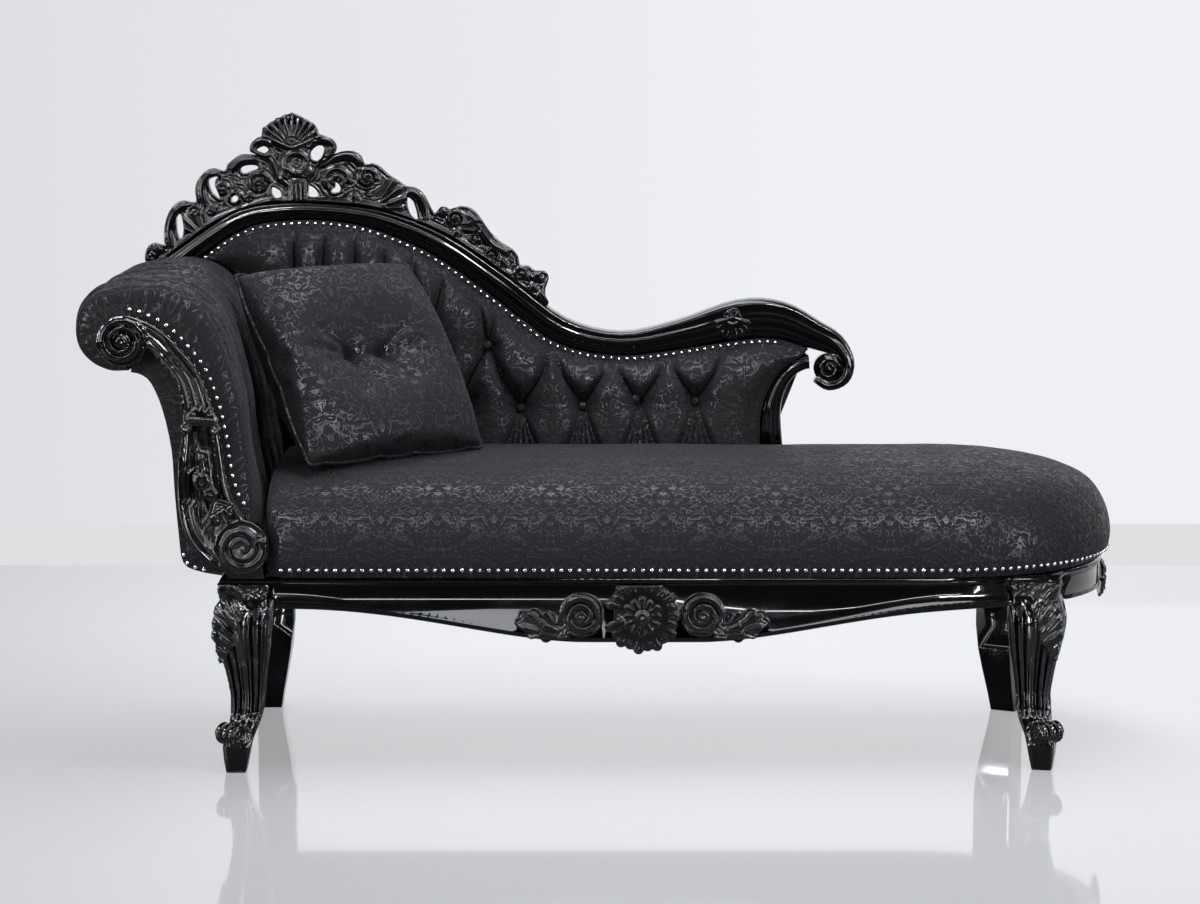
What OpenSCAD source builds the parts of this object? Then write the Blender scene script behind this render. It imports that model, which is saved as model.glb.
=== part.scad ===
// Carved chaise longue: cabriole legs, a rolled and tufted arm at the head end,
// a swept show-wood back with an openwork crest, a rounded seat and a loose cushion.
// X runs from the head end to the foot end, -Y is the front, Z is up, the floor is Z = 0.

/* [Overall] */
// Length over the arm roll and the rounded end of the seat
overall_len = 1770; // [1640:10:1900]
// Depth over the arm scroll and the outside back
overall_depth = 670; // [640:5:710]
// Height of the top of the seat frame
frame_top = 334; // [315:1:355]
// Air left between soft pieces and what they rest on
seat_gap = 0.3; // [0.2:0.05:0.5]

/* [Legs] */
// From the axis of a head end leg to the outside of the arm roll
arm_overhang = 275; // [255:5:295]
// From the axis of a foot end leg to the outside of the seat pad
foot_overhang = 157; // [150:1:170]
// Thickness of a front leg at its head
leg_head = 86; // [80:1:90]
// Thickness of a front leg at the knee
leg_knee = 94; // [91:1:98]
// Thickness of a front leg at the ankle
leg_ankle = 57; // [50:1:64]
// Thickness of a front leg at the floor
leg_foot = 41; // [36:1:48]
// How far a front foot steps out from the leg axis, each way
foot_kick = 20; // [14:1:26]
// Radius of the scroll on a front toe
toe_r = 19; // [16:1:22]
// Height of the middle of the toe scroll
toe_z = 64; // [60:1:70]
// Length of the toe scroll
toe_len = 48; // [42:1:54]
// How far the knee leaf stands proud
leaf_h = 5; // [3:0.5:6]
// Turn of the front leg under the rounded end
foot_leg_turn = 14; // [6:1:18]
// How much nearer the middle the legs under the rounded end stand
foot_leg_in = 24; // [20:1:30]
// Thickness of a back leg at its head
back_leg = 66; // [60:1:72]
// Thickness of a back leg at the floor
back_foot = 46; // [40:1:52]
// How far a back foot steps out
back_kick = 14; // [8:1:20]

/* [Seat frame] */
// Height of a seat rail at its ends
rail_h = 42; // [38:1:46]
// How much deeper the front rail is at its middle
rail_drop = 57; // [48:1:64]
// Thickness of the seat rails
rail_t = 28; // [25:1:32]
// Length of the rounded foot end of the frame
foot_bow = 306; // [290:2:320]
// Thickness of the moulding on top of the frame
cap_h = 9; // [8:0.5:11]
// Width of that moulding
cap_w = 22; // [20:1:24]
// How far that moulding stands proud of the rails
cap_out = 5; // [4:0.5:7]
// Width of a cross brace
brace_w = 60; // [50:1:70]
// Size of a corner block, from the leg axis to its face
corner_size = 100; // [90:1:108]
// Diameter of the bolt in each leg
bolt_d = 8; // [6:1:10]
// Width of a web strip
web_w = 50; // [44:1:54]
// Thickness of a web strip
web_t = 1.6; // [1.2:0.1:2]

/* [Seat pad] */
// Height of the crown above the frame
pad_h = 176; // [165:1:185]
// How far the side of the pad swells past the frame
pad_bulge = 17; // [12:1:20]

/* [Arm] */
// Radius of the arm roll
roll_r = 67; // [62:1:72]
// Height of the middle of the roll above the frame
arm_rise = 410; // [390:2:430]
// Thickness of the carved arm facing
facing_t = 28; // [24:1:32]
// Radius of the scroll at the top of the facing
facing_volute_r = 43; // [40:1:45]
// How far carving stands off the facing
boss_h = 15; // [12:1:17]
// Thickness of the posts inside the arm
arm_post_t = 45; // [40:1:50]
// Height of the row of buttons on the arm above the frame
arm_button_h = 235; // [215:1:255]
// Swell of the arm pad towards the seat
arm_crown = 22; // [16:1:26]
// Thickness of the outside arm panel
arm_panel_t = 9; // [7:1:11]

/* [Back] */
// Height of the top of the crest rail above the frame
crest_rise = 598; // [580:2:620]
// Thickness of the crest rail and the stile, front to back
crest_t = 55; // [48:1:60]
// Thickness of the outside back panel
back_panel_t = 9.7; // [8:0.1:10]
// Depth of the tufted back pad in front of its frame
back_pad_t = 78; // [70:1:84]
// Section of the posts inside the back
post_w = 44; // [38:1:50]
// Height of the bottom rail of the back
back_rail_h = 50; // [44:1:56]

/* [Buttons and nails] */
// Distance between tufts
tuft_pitch = 108; // [100:1:116]
// Depth of a tuft
tuft_depth = 34; // [26:1:38]
// Diameter of a covered button
button_d = 20; // [16:1:24]
// Diameter of a nail head on the seat and the arm
nail_d = 9; // [7:0.5:10]
// Distance between the nails of the seat and the arm
nail_pitch = 15.2; // [14:0.2:18]
// Diameter of a nail head on the back
back_nail_d = 7; // [5:0.5:8]
// Distance between the nails of the back
back_nail_pitch = 14.4; // [13:0.2:16]

/* [Carving] */
// Radius of the scroll where the crest rail comes down at the foot end
scroll_r = 27; // [24:1:29]
// Thickness of the openwork crest
carve_t = 24; // [20:1:28]
// How far the second level of carving stands off the first
relief_h = 6; // [4:0.5:8]
// Radius of the shell at the top of the crest
shell_r = 64; // [56:1:70]
// Radius of the shell in the middle of the front rail
apron_shell_r = 66; // [60:1:70]
// Radius of the scrolls beside that shell
apron_scroll_r = 38; // [34:1:42]

/* [Cushion] */
// Side of the square cushion
pillow_w = 376; // [360:2:390]
// Thickness of the cushion
pillow_t = 130; // [110:2:140]
// Lean of the cushion from upright
pillow_lean = 35; // [32:1:40]
// Turn of the cushion towards the foot end
pillow_turn = 40; // [36:1:44]
// Radius of the piping
piping_r = 3; // [2:0.5:3.5]

/* [Hidden] */
LACQUER = "#17171a";
FABRIC = "#2b2b30";
STEEL = "#d8d8dc";
RAW = "#b58a5c";
JUTE = "#a08a64";

// Places and lines
y_front = -overall_depth/2;                      // carved face of the arm scroll
y_back = overall_depth/2;                        // outside of the back
head_x = -overall_len/2 + arm_overhang;          // axis of the head end legs
foot_x = overall_len/2 - foot_overhang;          // axis of the foot end legs
rail_front = y_front + 45;                       // outside of the front rail
rail_back = y_back - 25;                         // outside of the back rail
seat_cy = (rail_front + rail_back)/2;
half_d = (rail_back - rail_front)/2;
pad_over = 2;                                    // the pad starts this far past the rails
frame_end = overall_len/2 - pad_over - pad_bulge; // end of the frame under the bow
bow_x = frame_end - foot_bow;                    // where the straight sides end
leg_top = frame_top - cap_h;                     // legs and rails end under the moulding
leg_y = rail_front + leg_head/2 - 5;             // axis of the front legs
back_leg_y = rail_back - back_leg/2;
back_leg_turn = 30;                              // turn of the back leg under the rounded end
frame_head = head_x - leg_head/2 + 5;            // head end of the frame
zone = leg_knee/2 + 0.5;                         // half the room kept for a leg
facing_front = y_front + boss_h;                 // face of the arm facing
facing_back = facing_front + facing_t;
arm_y0 = facing_back + 0.5;                      // front of the arm pad
crest_y = y_back - back_panel_t - 0.3 - crest_t; // front of the crest rail
arm_y1 = crest_y - 0.3;                          // back of the arm
back_plane = crest_y + 10;                       // back of the tufted pad
post_y = back_plane + 2.6;                       // front of the posts in the back
post_t = y_back - back_panel_t - 0.3 - post_y;

// Hand-drawn outlines are kept from the head end leg axis and the frame top,
// and stretch with the arm and the back.
arm_kx = (arm_overhang - roll_r)/208;
arm_kz = arm_rise/410;
back_kx = (foot_x - head_x)/1338;
back_kz = crest_rise/598;
roll_x = head_x - 208*arm_kx;
roll_z = frame_top + arm_rise;
function on_arm(p) = [head_x + p[0]*arm_kx, frame_top + p[1]*arm_kz, p[2]];
function on_back(p) = [head_x + p[0]*back_kx, frame_top + p[1]*back_kz, p[2]];

// Curves
function lerp(a, b, t) = a + (b - a)*t;
function unit(v) = v/norm(v);
function xy(p) = [p[0], p[1]];
function spline(a, b, c, d, t) = 0.5*(2*b + (c - a)*t + (2*a - 5*b + 4*c - d)*t*t
    + (3*b - a - 3*c + d)*t*t*t);
// Smooth line through the key points, n steps between two of them
function smooth(keys, n) = let(m = len(keys) - 1) [for (i = [0:m - 1]) for (k = [0:n - 1])
    spline(keys[max(i - 1, 0)], keys[i], keys[i + 1], keys[min(i + 2, m)], k/n), keys[m]];
function heading(p, i) = unit(xy(p[min(i + 1, len(p) - 1)]) - xy(p[max(i - 1, 0)]));
function side(p, i) = let(t = heading(p, i)) [-t.y, t.x];
// One edge of a band whose width is the third value of each point
function edge(p, k) = [for (i = [0:len(p) - 1]) xy(p[i]) + side(p, i)*p[i][2]*k];
function band(p, k = 0.5) = concat(edge(p, k), reverse(edge(p, -k)));
function reverse(v) = [for (i = [len(v) - 1:-1:0]) v[i]];
function lengths(p) = [for (i = 0, a = 0; i < len(p);
    a = a + (i < len(p) - 1 ? norm(xy(p[i + 1]) - xy(p[i])) : 0), i = i + 1) a];
function find(c, d) = max([for (k = [0:len(c) - 2]) c[k] <= d ? k : 0]);
function at_length(p, c, d) = let(i = find(c, d)) lerp(p[i], p[i + 1], (d - c[i])/(c[i + 1] - c[i]));
// Points at an even pitch along a line
function spaced(p, pitch, d0 = 0) = let(c = lengths(p)) [for (d = [d0:pitch:c[len(c) - 1] - 0.1])
    at_length(p, c, d)];
function arc(c, r, a0, a1, n) = [for (k = [0:n]) c + r*[cos(lerp(a0, a1, k/n)), sin(lerp(a0, a1, k/n))]];
function clamp01(t) = min(1, max(0, t));
function bell(d, w) = exp(-d*d/(w*w));
function seg_dist(p, a, b) = let(t = clamp01((p - a)*(b - a)/((b - a)*(b - a)))) norm(p - a - (b - a)*t);

// Solids from rings
// Skin over a row of closed rings; the ends are fans, or strips where the ring is a hook
// whose second half runs back along its first
module loft(rings, hook = false) {
    n = len(rings);
    m = len(rings[0]);
    e = (n - 1)*m;
    strip = [for (j = [0:m/2 - 2]) each [[j, j + 1, m - 1 - j], [j + 1, m - 2 - j, m - 1 - j]]];
    fans = [for (j = [1:m - 2]) [0, j, j + 1]];
    caps = hook ? strip : fans;
    polyhedron(points = [for (r = rings) each r], convexity = 6, faces = concat(
        caps, [for (f = caps) [e + f[2], e + f[1], e + f[0]]],
        [for (i = [0:n - 2]) for (j = [0:m - 1]) each let(k = (j + 1)%m)
            [[i*m + j, (i + 1)*m + j, i*m + k], [i*m + k, (i + 1)*m + j, (i + 1)*m + k]]]));
}

// Flat drawing in X and Z given a thickness along Y, its front at y
module slab(y, t) translate([0, y + t, 0]) rotate([90, 0, 0]) linear_extrude(t) children();

// Moulded front of the show-wood: across the band, depth behind the face
MOULDING = [[0.5, 16], [0.46, 7], [0.38, 3], [0.28, 5], [0.16, 1], [0.02, 0], [-0.12, 4],
    [-0.24, 9], [-0.34, 6], [-0.44, 8], [-0.5, 16]];
// Three reeds between two edge beads
REEDS = [[0.5, 12], [0.47, 3], [0.40, 0], [0.33, 5], [0.2, 1], [0.08, 5], [-0.05, 1],
    [-0.18, 5], [-0.3, 1], [-0.4, 5], [-0.47, 2], [-0.5, 12]];
module moulded(path, y, t, section) loft([for (i = [0:len(path) - 1]) let(n = side(path, i))
    [for (q = concat([[-0.5, t]], [[0.5, t]], section))
        [path[i][0] + n.x*q[0]*path[i][2], y + q[1], path[i][1] + n.y*q[0]*path[i][2]]]]);

// Seat plan
// Frame outline grown by d: straight sides and a half ellipse at the foot end
function bow(d, n = 32) = [for (k = [0:n]) let(a = -90 + 180*k/n)
    [bow_x + (foot_bow + d)*cos(a), seat_cy + (half_d + d)*sin(a)]];
function plan(d) = concat([[frame_head - d, seat_cy + half_d + d], [frame_head - d, seat_cy - half_d - d]],
    bow(d));
// Each leg: its axis, how it is turned
LEGS = [[head_x, leg_y, 0], [foot_x, leg_y + foot_leg_in, -foot_leg_turn]];
BACK_LEGS = [[head_x, back_leg_y, 0], [foot_x - 4, back_leg_y - foot_leg_in, -back_leg_turn]];
back_zone = back_leg/2 + 0.4;
module zones(list, half) for (p = list) translate([p.x, p.y]) rotate(p.z) square(2*half, center = true);
module leg_zones() translate([0, 0, -1])
    linear_extrude(frame_top + 2) { zones(LEGS, zone); zones(BACK_LEGS, back_zone); }
module frame_ring(outer, inner) difference() { polygon(plan(outer)); polygon(plan(inner)); }

function rail_low(x) = let(mid = (head_x + foot_x)/2, span = (foot_x - head_x)/2,
    t = clamp01((abs(x - mid)/span*669 - 100)/500)) leg_top - rail_h
    - rail_drop*(0.5 + 0.5*cos(180*pow(t, 0.85)));

// Part of a ring of the frame: from x0 to x1, and y0 to y1
module ring_part(outer, inner, x0, x1, y0, y1) intersection() {
    frame_ring(outer, inner);
    translate([x0, y0]) square([x1 - x0, y1 - y0]);
}
rail_x = [for (k = [0:48]) lerp(head_x, foot_x, k/48)];
module front_seat_rail() color(LACQUER) difference() {
    union() {
        intersection() {
            linear_extrude(leg_top) ring_part(0, -rail_t, head_x, foot_x, y_front, leg_y + 60);
            slab(y_front, overall_depth/2) polygon(concat([[foot_x, leg_top], [head_x, leg_top]],
                [for (x = rail_x) [x, rail_low(x)]]));
        }
        // bead along the lower edge
        for (e = [[0, 9, 2.5], [1.5, 7.5, 4]]) intersection() {
            linear_extrude(leg_top) ring_part(e[2], -1, head_x, foot_x, y_front, leg_y + 60);
            slab(y_front, overall_depth/2) polygon(concat([for (x = reverse(rail_x)) [x, rail_low(x)
                + e[1]]],
                [for (x = rail_x) [x, rail_low(x) + e[0]]]));
        }
    }
    leg_zones();
}

module back_seat_rail() color(LACQUER) difference() {
    translate([0, 0, leg_top - rail_h]) linear_extrude(rail_h)
        ring_part(0, -rail_t, head_x, foot_x - 4, seat_cy + half_d/2, y_back);
    leg_zones();
}

module head_seat_rail() color(LACQUER)
    translate([frame_head, leg_y + zone, leg_top - rail_h])
        cube([rail_t, back_leg_y - back_zone - leg_y - zone, rail_h]);

module foot_seat_rail() color(LACQUER) difference() {
    union() {
        translate([0, 0, leg_top - rail_h]) linear_extrude(rail_h)
            ring_part(0, -rail_t, foot_x, overall_len/2, y_front, y_back);
        translate([0, 0, leg_top - rail_h]) linear_extrude(7)
            ring_part(3, -1, foot_x, overall_len/2, y_front, y_back);
    }
    leg_zones();
}

// The moulding runs round the top of the frame and breaks forward over the legs of the rounded end
module seat_frame_moulding() color(LACQUER) for (s = [[0, 0.3, -2], [0.3, 0.7, 0], [0.7, 1, -1.5]])
    translate([0, 0, leg_top + s[0]*cap_h]) linear_extrude((s[1] - s[0])*cap_h) difference() {
        union() {
            polygon(plan(cap_out + s[2]));
            zones([LEGS[1]], leg_head/2 + 3 + s[2]);
            zones([BACK_LEGS[1]], back_leg/2 + 3 + s[2]);
        }
        polygon(plan(cap_out - cap_w));
    }

// Legs
// Half of a face, as steps across it and how deep each flute is cut
FACE = [[-0.74, 0], [-0.5, 0.07], [-0.26, 0], [0, 0.06], [0.26, 0], [0.5, 0.07], [0.74, 0]];
function leaf_at(a, z) = let(t = clamp01((leg_top - z)/130), w = 46*(1 - t*t),
    d = abs(a - 45)) z < leg_top - 128 || d >= w ? 0
    : leaf_h*sqrt(1 - d/w)*(0.72 + 0.28*cos(t*1100 - d*5));
function leg_ring(z, c, s, flute) = let(raw = [for (q = [0:3]) each let(r = [cos(90*q), sin(90*q)])
    [for (p = concat([[0.93, -0.93]], [for (f = FACE) [1 - f[1]*flute, f[0]]]))
        s*[p[0]*r.x - p[1]*r.y, p[0]*r.y + p[1]*r.x]]])
    [for (p = raw) let(b = leaf_at(atan2(p.y, p.x), z)) [c + p.x*(1 + b/s), c + p.y*(1 + b/s), z]];
// Height, step out of the middle, half thickness, depth of the flutes
function leg_keys() = concat(
    [[0, foot_kick, leg_foot/2, 0], [24, foot_kick*0.96, leg_foot/2 + 2.5, 0],
     [46, foot_kick*0.9, leg_foot/2 + 3.5, 0], [62, foot_kick*0.55, leg_foot/2 + 2, 0.4],
     [84, foot_kick*0.25, leg_ankle/2 - 2.5, 1], [107, 1, leg_ankle/2, 1], [130, 0, leg_ankle/2 + 0.5, 1],
     [155, 1, leg_ankle/2 + 3.5, 1], [178, 2, leg_ankle/2 + 7, 1]],
    [for (k = [[128, 3.5, -7], [118, 4, -5.5], [108, 5, -4], [98, 5.5, -2.5], [88, 6, -1.2],
        [78, 6.5, -0.3],
        [68, 6, 0], [58, 5, -0.5], [48, 3.5, -1.8], [38, 2, -3.4]])
        [leg_top - k[0], k[1], leg_knee/2 + k[2], 0.6]],
    [[leg_top - 28, 1, leg_head/2 - 2.5, 0.2], [leg_top - 16, 0, leg_head/2 - 2, 0],
     [leg_top - 12, 0, leg_head/2, 0], [leg_top, 0, leg_head/2, 0]]);
// A curled band with its coil drawn as one line, thin at the eye
function coil(r, turns, n = 14) = [for (k = [0:ceil(turns*n)]) let(a = 360*k/n, t = k/(turns*n),
    q = r*(1 - 0.8*t)) [q*0.86*cos(a), q*0.86*sin(a), r*0.17*(1.1 - 0.6*t)]];

// Cabriole leg, its outer corner along +X +Y
module cabriole() difference() {
    union() {
        loft([for (k = leg_keys()) leg_ring(k[0], k[1], k[2], k[3])]);
        translate([foot_kick + 6, foot_kick + 6, toe_z]) rotate([0, 0, 45]) rotate([90, 0, 0])
            translate([0, 0, -toe_len/2]) {
                cylinder(h = toe_len, r = toe_r, $fn = 40);
                for (m = [0, 1]) mirror([0, 0, m]) translate([0, 0, m == 0 ? toe_len - 1 : -1])
                    linear_extrude(4) polygon(band(coil(toe_r, 1.6)));
            }
    }
    // bolt hole in the inner corner
    translate([0, 0, leg_top - rail_h/2]) rotate([0, 0, 45]) rotate([0, -90, 0])
        translate([0, 0, 30]) cylinder(h = 60, d = bolt_d + 0.3, $fn = 32);
}
module front_head_leg() color(LACQUER) translate([head_x, leg_y, 0]) rotate(180) cabriole();
module front_foot_leg() color(LACQUER) translate([LEGS[1].x, LEGS[1].y, 0]) rotate(-90 + LEGS[1].z)
    cabriole();

// Back leg: square and plain, curved out towards the floor; s is the way it steps in X
module sabre(s) difference() {
    loft([for (k = [[0, 1, 0], [35, 0.72, 0.18], [75, 0.4, 0.5], [115, 0.15, 0.82], [160, 0, 1],
        [leg_top, 0, 1]])
        let(h = lerp(back_foot, back_leg, k[2])/2) [for (q = [[-1, 1], [1, 1], [1, -1], [-1, -1]])
            [s*back_kick*k[1] + q.x*h, back_kick*0.6*k[1] + (q.y*h), k[0]]]]);
    translate([0, 0, leg_top - rail_h/2]) rotate([0, 0, s < 0 ? -45 : -135]) rotate([0, 90, 0])
        translate([0, 0, 25]) cylinder(h = 60, d = bolt_d + 0.3, $fn = 32);
}
module back_head_leg() color(LACQUER) translate([head_x, back_leg_y, 0]) sabre(-1);
module back_foot_leg() color(LACQUER) translate([BACK_LEGS[1].x, BACK_LEGS[1].y, 0])
    rotate(BACK_LEGS[1].z) sabre(1);

// Each corner: leg axis, heading to the inside of the seat
CORNERS = [[head_x, leg_y, 45], [LEGS[1].x, LEGS[1].y, 135 + LEGS[1].z], [head_x, back_leg_y, -45],
    [BACK_LEGS[1].x, BACK_LEGS[1].y, -135 + BACK_LEGS[1].z]];
block_z = leg_top - rail_h + 2;
block_h = rail_h - 4;
module corner_blocks() color(RAW) difference() {
    translate([0, 0, block_z]) linear_extrude(block_h) difference() {
        intersection() {
            polygon(concat([[frame_head + rail_t + 0.2, rail_back - rail_t - 0.2],
                [frame_head + rail_t + 0.2, rail_front + rail_t + 0.2]], bow(-rail_t - 0.2)));
            for (c = CORNERS) translate([c.x, c.y]) rotate(c.z) translate([2, -120])
                square([corner_size - 2, 240]);
        }
        zones(LEGS, zone);
        zones(BACK_LEGS, back_zone);
        // a flat for the bolt to leave the leg's corner by
        for (k = [0:3]) translate([CORNERS[k].x, CORNERS[k].y]) rotate(CORNERS[k].z) translate([0, -12])
            square([(k < 2 ? zone : back_zone)*sqrt(2) + 2, 24]);
    }
    for (c = CORNERS) translate([c.x, c.y, leg_top - rail_h/2]) rotate(c.z) rotate([0, 90, 0])
        linear_extrude(300) disc(bolt_d/2 + 0.15, 16);
}

module leg_bolts() color(STEEL) for (c = CORNERS) translate([c.x, c.y, leg_top - rail_h/2])
    rotate(c.z) rotate([0, 90, 0]) {
        translate([0, 0, 32]) cylinder(h = corner_size - 32 + 12, d = bolt_d, $fn = 32);
        // washer and nut
        translate([0, 0, corner_size + 0.1]) cylinder(h = 1.6, d = bolt_d*2.2, $fn = 32);
        translate([0, 0, corner_size + 1.7]) cylinder(h = bolt_d*0.8, d = bolt_d*1.8, $fn = 6);
    }

brace_x = [lerp(head_x, foot_x, 1/3), lerp(head_x, foot_x, 2/3)];
module cross_braces() color(RAW) for (x = brace_x)
    translate([x - brace_w/2, rail_front + rail_t, block_z])
        cube([brace_w, 2*half_d - 2*rail_t, block_h - 4]);

module dust_cover() color("#141414") translate([0, 0, block_z - 1.3]) linear_extrude(1) difference() {
    polygon(concat([[frame_head + rail_t + 1, rail_back - rail_t - 1],
        [frame_head + rail_t + 1, rail_front + rail_t + 1]], bow(-rail_t - 1)));
    zones(LEGS, zone + 1);
    zones(BACK_LEGS, back_zone + 1);
}

// Webs lie on the rails inside the moulding, the long ones over the short ones
web_in = cap_w - cap_out + 0.6;                  // from the outside of the rails to the webs
web_pitch = web_w*1.75;
web_x0 = head_x + zone + web_w/2;
web_nx = floor((bow_x + 120 - web_x0)/web_pitch);
module webbing_across() color(JUTE) for (k = [0:web_nx]) let(x = web_x0 + k*web_pitch,
    c = x < bow_x ? 1 : sqrt(1 - pow((x + web_w/2 - bow_x)/(foot_bow - web_in), 2)))
    translate([x - web_w/2, seat_cy - (half_d - web_in)*c, leg_top])
        cube([web_w, 2*(half_d - web_in)*c, web_t]);
web_ny = 5;
module webbing_along() color(JUTE) for (k = [-(web_ny - 1)/2:(web_ny - 1)/2])
    let(y = k*(2*half_d - 200)/web_ny, x1 = bow_x
        + (foot_bow - web_in)*sqrt(1 - pow((abs(y) + web_w/2)/(half_d - web_in), 2)))
    translate([frame_head + web_in, seat_cy + y - web_w/2, leg_top + web_t + 0.1])
        cube([x1 - frame_head - web_in, web_w, web_t]);
module seat_hessian() color(JUTE) translate([0, 0, leg_top + 2*web_t + 0.3]) linear_extrude(1)
    polygon(plan(-web_in));

// Seat pad
// Side of the pad: out of the frame edge, height; then the slow crown
PAD_LOW = [[0, 0], [0.42, 6], [0.96, 24], [1, 48], [0.78, 74], [0.34, 95]];
PAD_TOP = [[4, 0.655], [16, 0.74], [34, 0.81], [60, 0.87], [110, 0.935], [185, 0.982], [276, 1]];
pad_rings = concat([for (q = PAD_LOW) [pad_over + q[0]*pad_bulge, q[1]]],
    [for (q = PAD_TOP) [-q[0], q[1]*pad_h]]);
// Outline of the pad d inside or outside the frame, drawn round a line down its middle
function pad_outline(d) = let(f = 1 + d/half_d) concat(
    [for (k = [0:9]) let(x = lerp(frame_head, bow_x, k/10)) [x, seat_cy - half_d*f]],
    [for (k = [0:24]) let(a = -90 + 180*k/24) [bow_x + (foot_bow + d)*cos(a), seat_cy + half_d*f*sin(a)]],
    [for (k = [9:-1:0]) let(x = lerp(frame_head, bow_x, k/10)) [x, seat_cy + half_d*f]]);
seat_x0 = head_x + 36;                           // where the seat meets the arm
seat_y1 = back_plane - back_pad_t - 4;           // where it meets the back
stile_x = head_x + 917*back_kx;                  // middle of the stile at the seat
module seat_pad() color(FABRIC) difference() {
    loft([for (r = pad_rings) [for (p = pad_outline(r[0])) [p.x, p.y, frame_top + seat_gap + r[1]]]]);
    translate([frame_head - 100, y_front - 50, 0]) cube([seat_x0 - frame_head + 100, 2*overall_depth, 900]);
    translate([frame_head - 100, y_front - 50, 0])
        cube([head_x + 52 - frame_head + 100, 50 + facing_back + 4 - y_front, 900]);
    translate([frame_head - 100, seat_y1, 0]) cube([stile_x + 30 - frame_head + 100, overall_depth, 900]);
}

// Nail heads as low domes: each entry is the place, the way it faces and the diameter
module nails(list) polyhedron(convexity = 4,
    points = [for (q = list) let(f = unit(q[1]), r = unit(cross(f, [0, 0.001, 1])), u = cross(r, f)) each
        concat([q[0] + f*q[2]*0.3], [for (a = [0:60:300]) q[0] + (r*cos(a) + u*sin(a))*q[2]/2])],
    faces = [for (i = [0:len(list) - 1])
        each concat([for (a = [0:5]) [i*7, i*7 + 1 + a, i*7 + 1 + (a + 1) % 6]],
        [for (a = [1:4]) [i*7 + 1, i*7 + 2 + a, i*7 + 1 + a]])]);
nail_z = 17;                                     // height of the nails above the frame
nail_off = pad_over + 0.75*pad_bulge + 0.3;            // face of the pad at that height
module seat_nail_trim() color(STEEL) {
    line = concat([for (k = [0:40]) [lerp(head_x + 62, bow_x, k/40), seat_cy - half_d - nail_off]],
        [for (k = [1:72]) let(a = -90 + 180*k/72)
            [bow_x + (foot_bow + nail_off)*cos(a), seat_cy + (half_d + nail_off)*sin(a)]],
        [[stile_x + 50, seat_cy + half_d + nail_off]]);
    c = lengths(line);
    nails([for (d = [0:nail_pitch:c[len(c) - 1] - 1]) let(i = find(c, d), p = at_length(line, c, d),
        t = unit(line[i + 1] - line[i])) [[p.x, p.y, frame_top + nail_z], [t.y, -t.x, -0.5], nail_d]]);
}

// Carved front rail
module petal(r, a, w) rotate(a) union() {
    polygon([[-w*0.2, 0], [w*0.2, 0], [w*0.5, r - w*0.5], [-w*0.5, r - w*0.5]]);
    translate([0, r - w*0.5]) circle(d = w, $fn = 20);
}
module fan(r, a0, a1, n, w) for (k = [0:n - 1])
    petal(r*(k % 2 == 0 ? 1 : 0.93), lerp(a0, a1, k/(n - 1)), w);
apron_x = (head_x + foot_x)/2;
apron_z = leg_top - rail_h - rail_drop + 47;
apron_y = rail_front - 4.5;                      // clear of the bead on the rail
module apron_shell() color(LACQUER) translate([apron_x, 0, apron_z]) {
    slab(apron_y - 8, 8) offset(r = 0.4) intersection() {
        union() { fan(apron_shell_r, -250, 70, 21, 17); circle(r = apron_shell_r*0.72, $fn = 48); }
        translate([-200, -200]) square([400, 199.5 + leg_top - apron_z]);
    }
    slab(apron_y - 14, 7) offset(r = 0.2) intersection() {
        fan(apron_shell_r*0.92, -250, 70, 21, 11);
        translate([-200, -200]) square([400, 199 + leg_top - apron_z]);
    }
    slab(apron_y - 19, 6) fan(apron_shell_r*0.5, -240, 120, 13, 9);
    translate([0, apron_y - 18, 0]) rotate([90, 0, 0]) cylinder(h = 5, r1 = 13, r2 = 7, $fn = 32);
}
// Round scroll with an acanthus tail running along the rail, m mirrors it
module apron_scroll() {
    slab(apron_y - 7, 7) offset(delta = 0.3) union() {
        circle(r = apron_scroll_r, $fn = 56);
        polygon(band(smooth([[20, -30, 22], [58, -26, 34], [86, -18, 30], [112, -10, 10]], 5)));
        for (p = [[56, -6, 13], [80, 0, 12], [98, 0, 9], [60, -38, 9], [84, -32, 9]])
            translate([p[0], p[1]]) circle(r = p[2], $fn = 20);
    }
    slab(apron_y - 15, 9) polygon(band(coil(apron_scroll_r, 2.2)));
    slab(apron_y - 16, 10) circle(r = apron_scroll_r*0.2, $fn = 24);
    slab(apron_y - 12, 6) for (p = [[46, -14, 50, 9], [40, -26, 20, 9], [44, -34, 0, 8],
        [70, -14, 40, 8], [74, -26, 10, 8]])
        translate([p[0], p[1]]) rotate(p[2] - 90) petal(26, 0, p[3]);
}
apron_step = apron_shell_r + apron_scroll_r - 2;
module apron_scroll_right() color(LACQUER) apron_scroll_at(1);
module apron_scroll_left() color(LACQUER) apron_scroll_at(-1);
module apron_scroll_at(m) difference() {
    translate([apron_x + m*apron_step, 0, apron_z + 1]) if (m > 0)
        apron_scroll(); else mirror([1, 0, 0]) apron_scroll();
    translate([apron_x, -overall_depth, apron_z]) rotate([-90, 0, 0])
        cylinder(h = overall_depth*2, r = apron_shell_r + 1, $fn = 64);
}

module foot_end_cartouche() color(LACQUER) translate([frame_end + 3.5, seat_cy, leg_top - 24])
    rotate([0, 0, 90])
    rotate([90, 0, 0]) {
        linear_extrude(5) offset(r = 0.4) { scale([1, 0.42]) circle(r = 44, $fn = 48); rotate(180)
            fan(48, -76, 76, 9, 14); fan(22, -70, 70, 7, 11); }
        linear_extrude(9) { rotate(180) fan(41, -76, 76, 9, 9); fan(18, -70, 70, 7, 7); }
        translate([0, 0, 8]) cylinder(h = 5, r1 = 12, r2 = 7, $fn = 32);
    }

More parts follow.
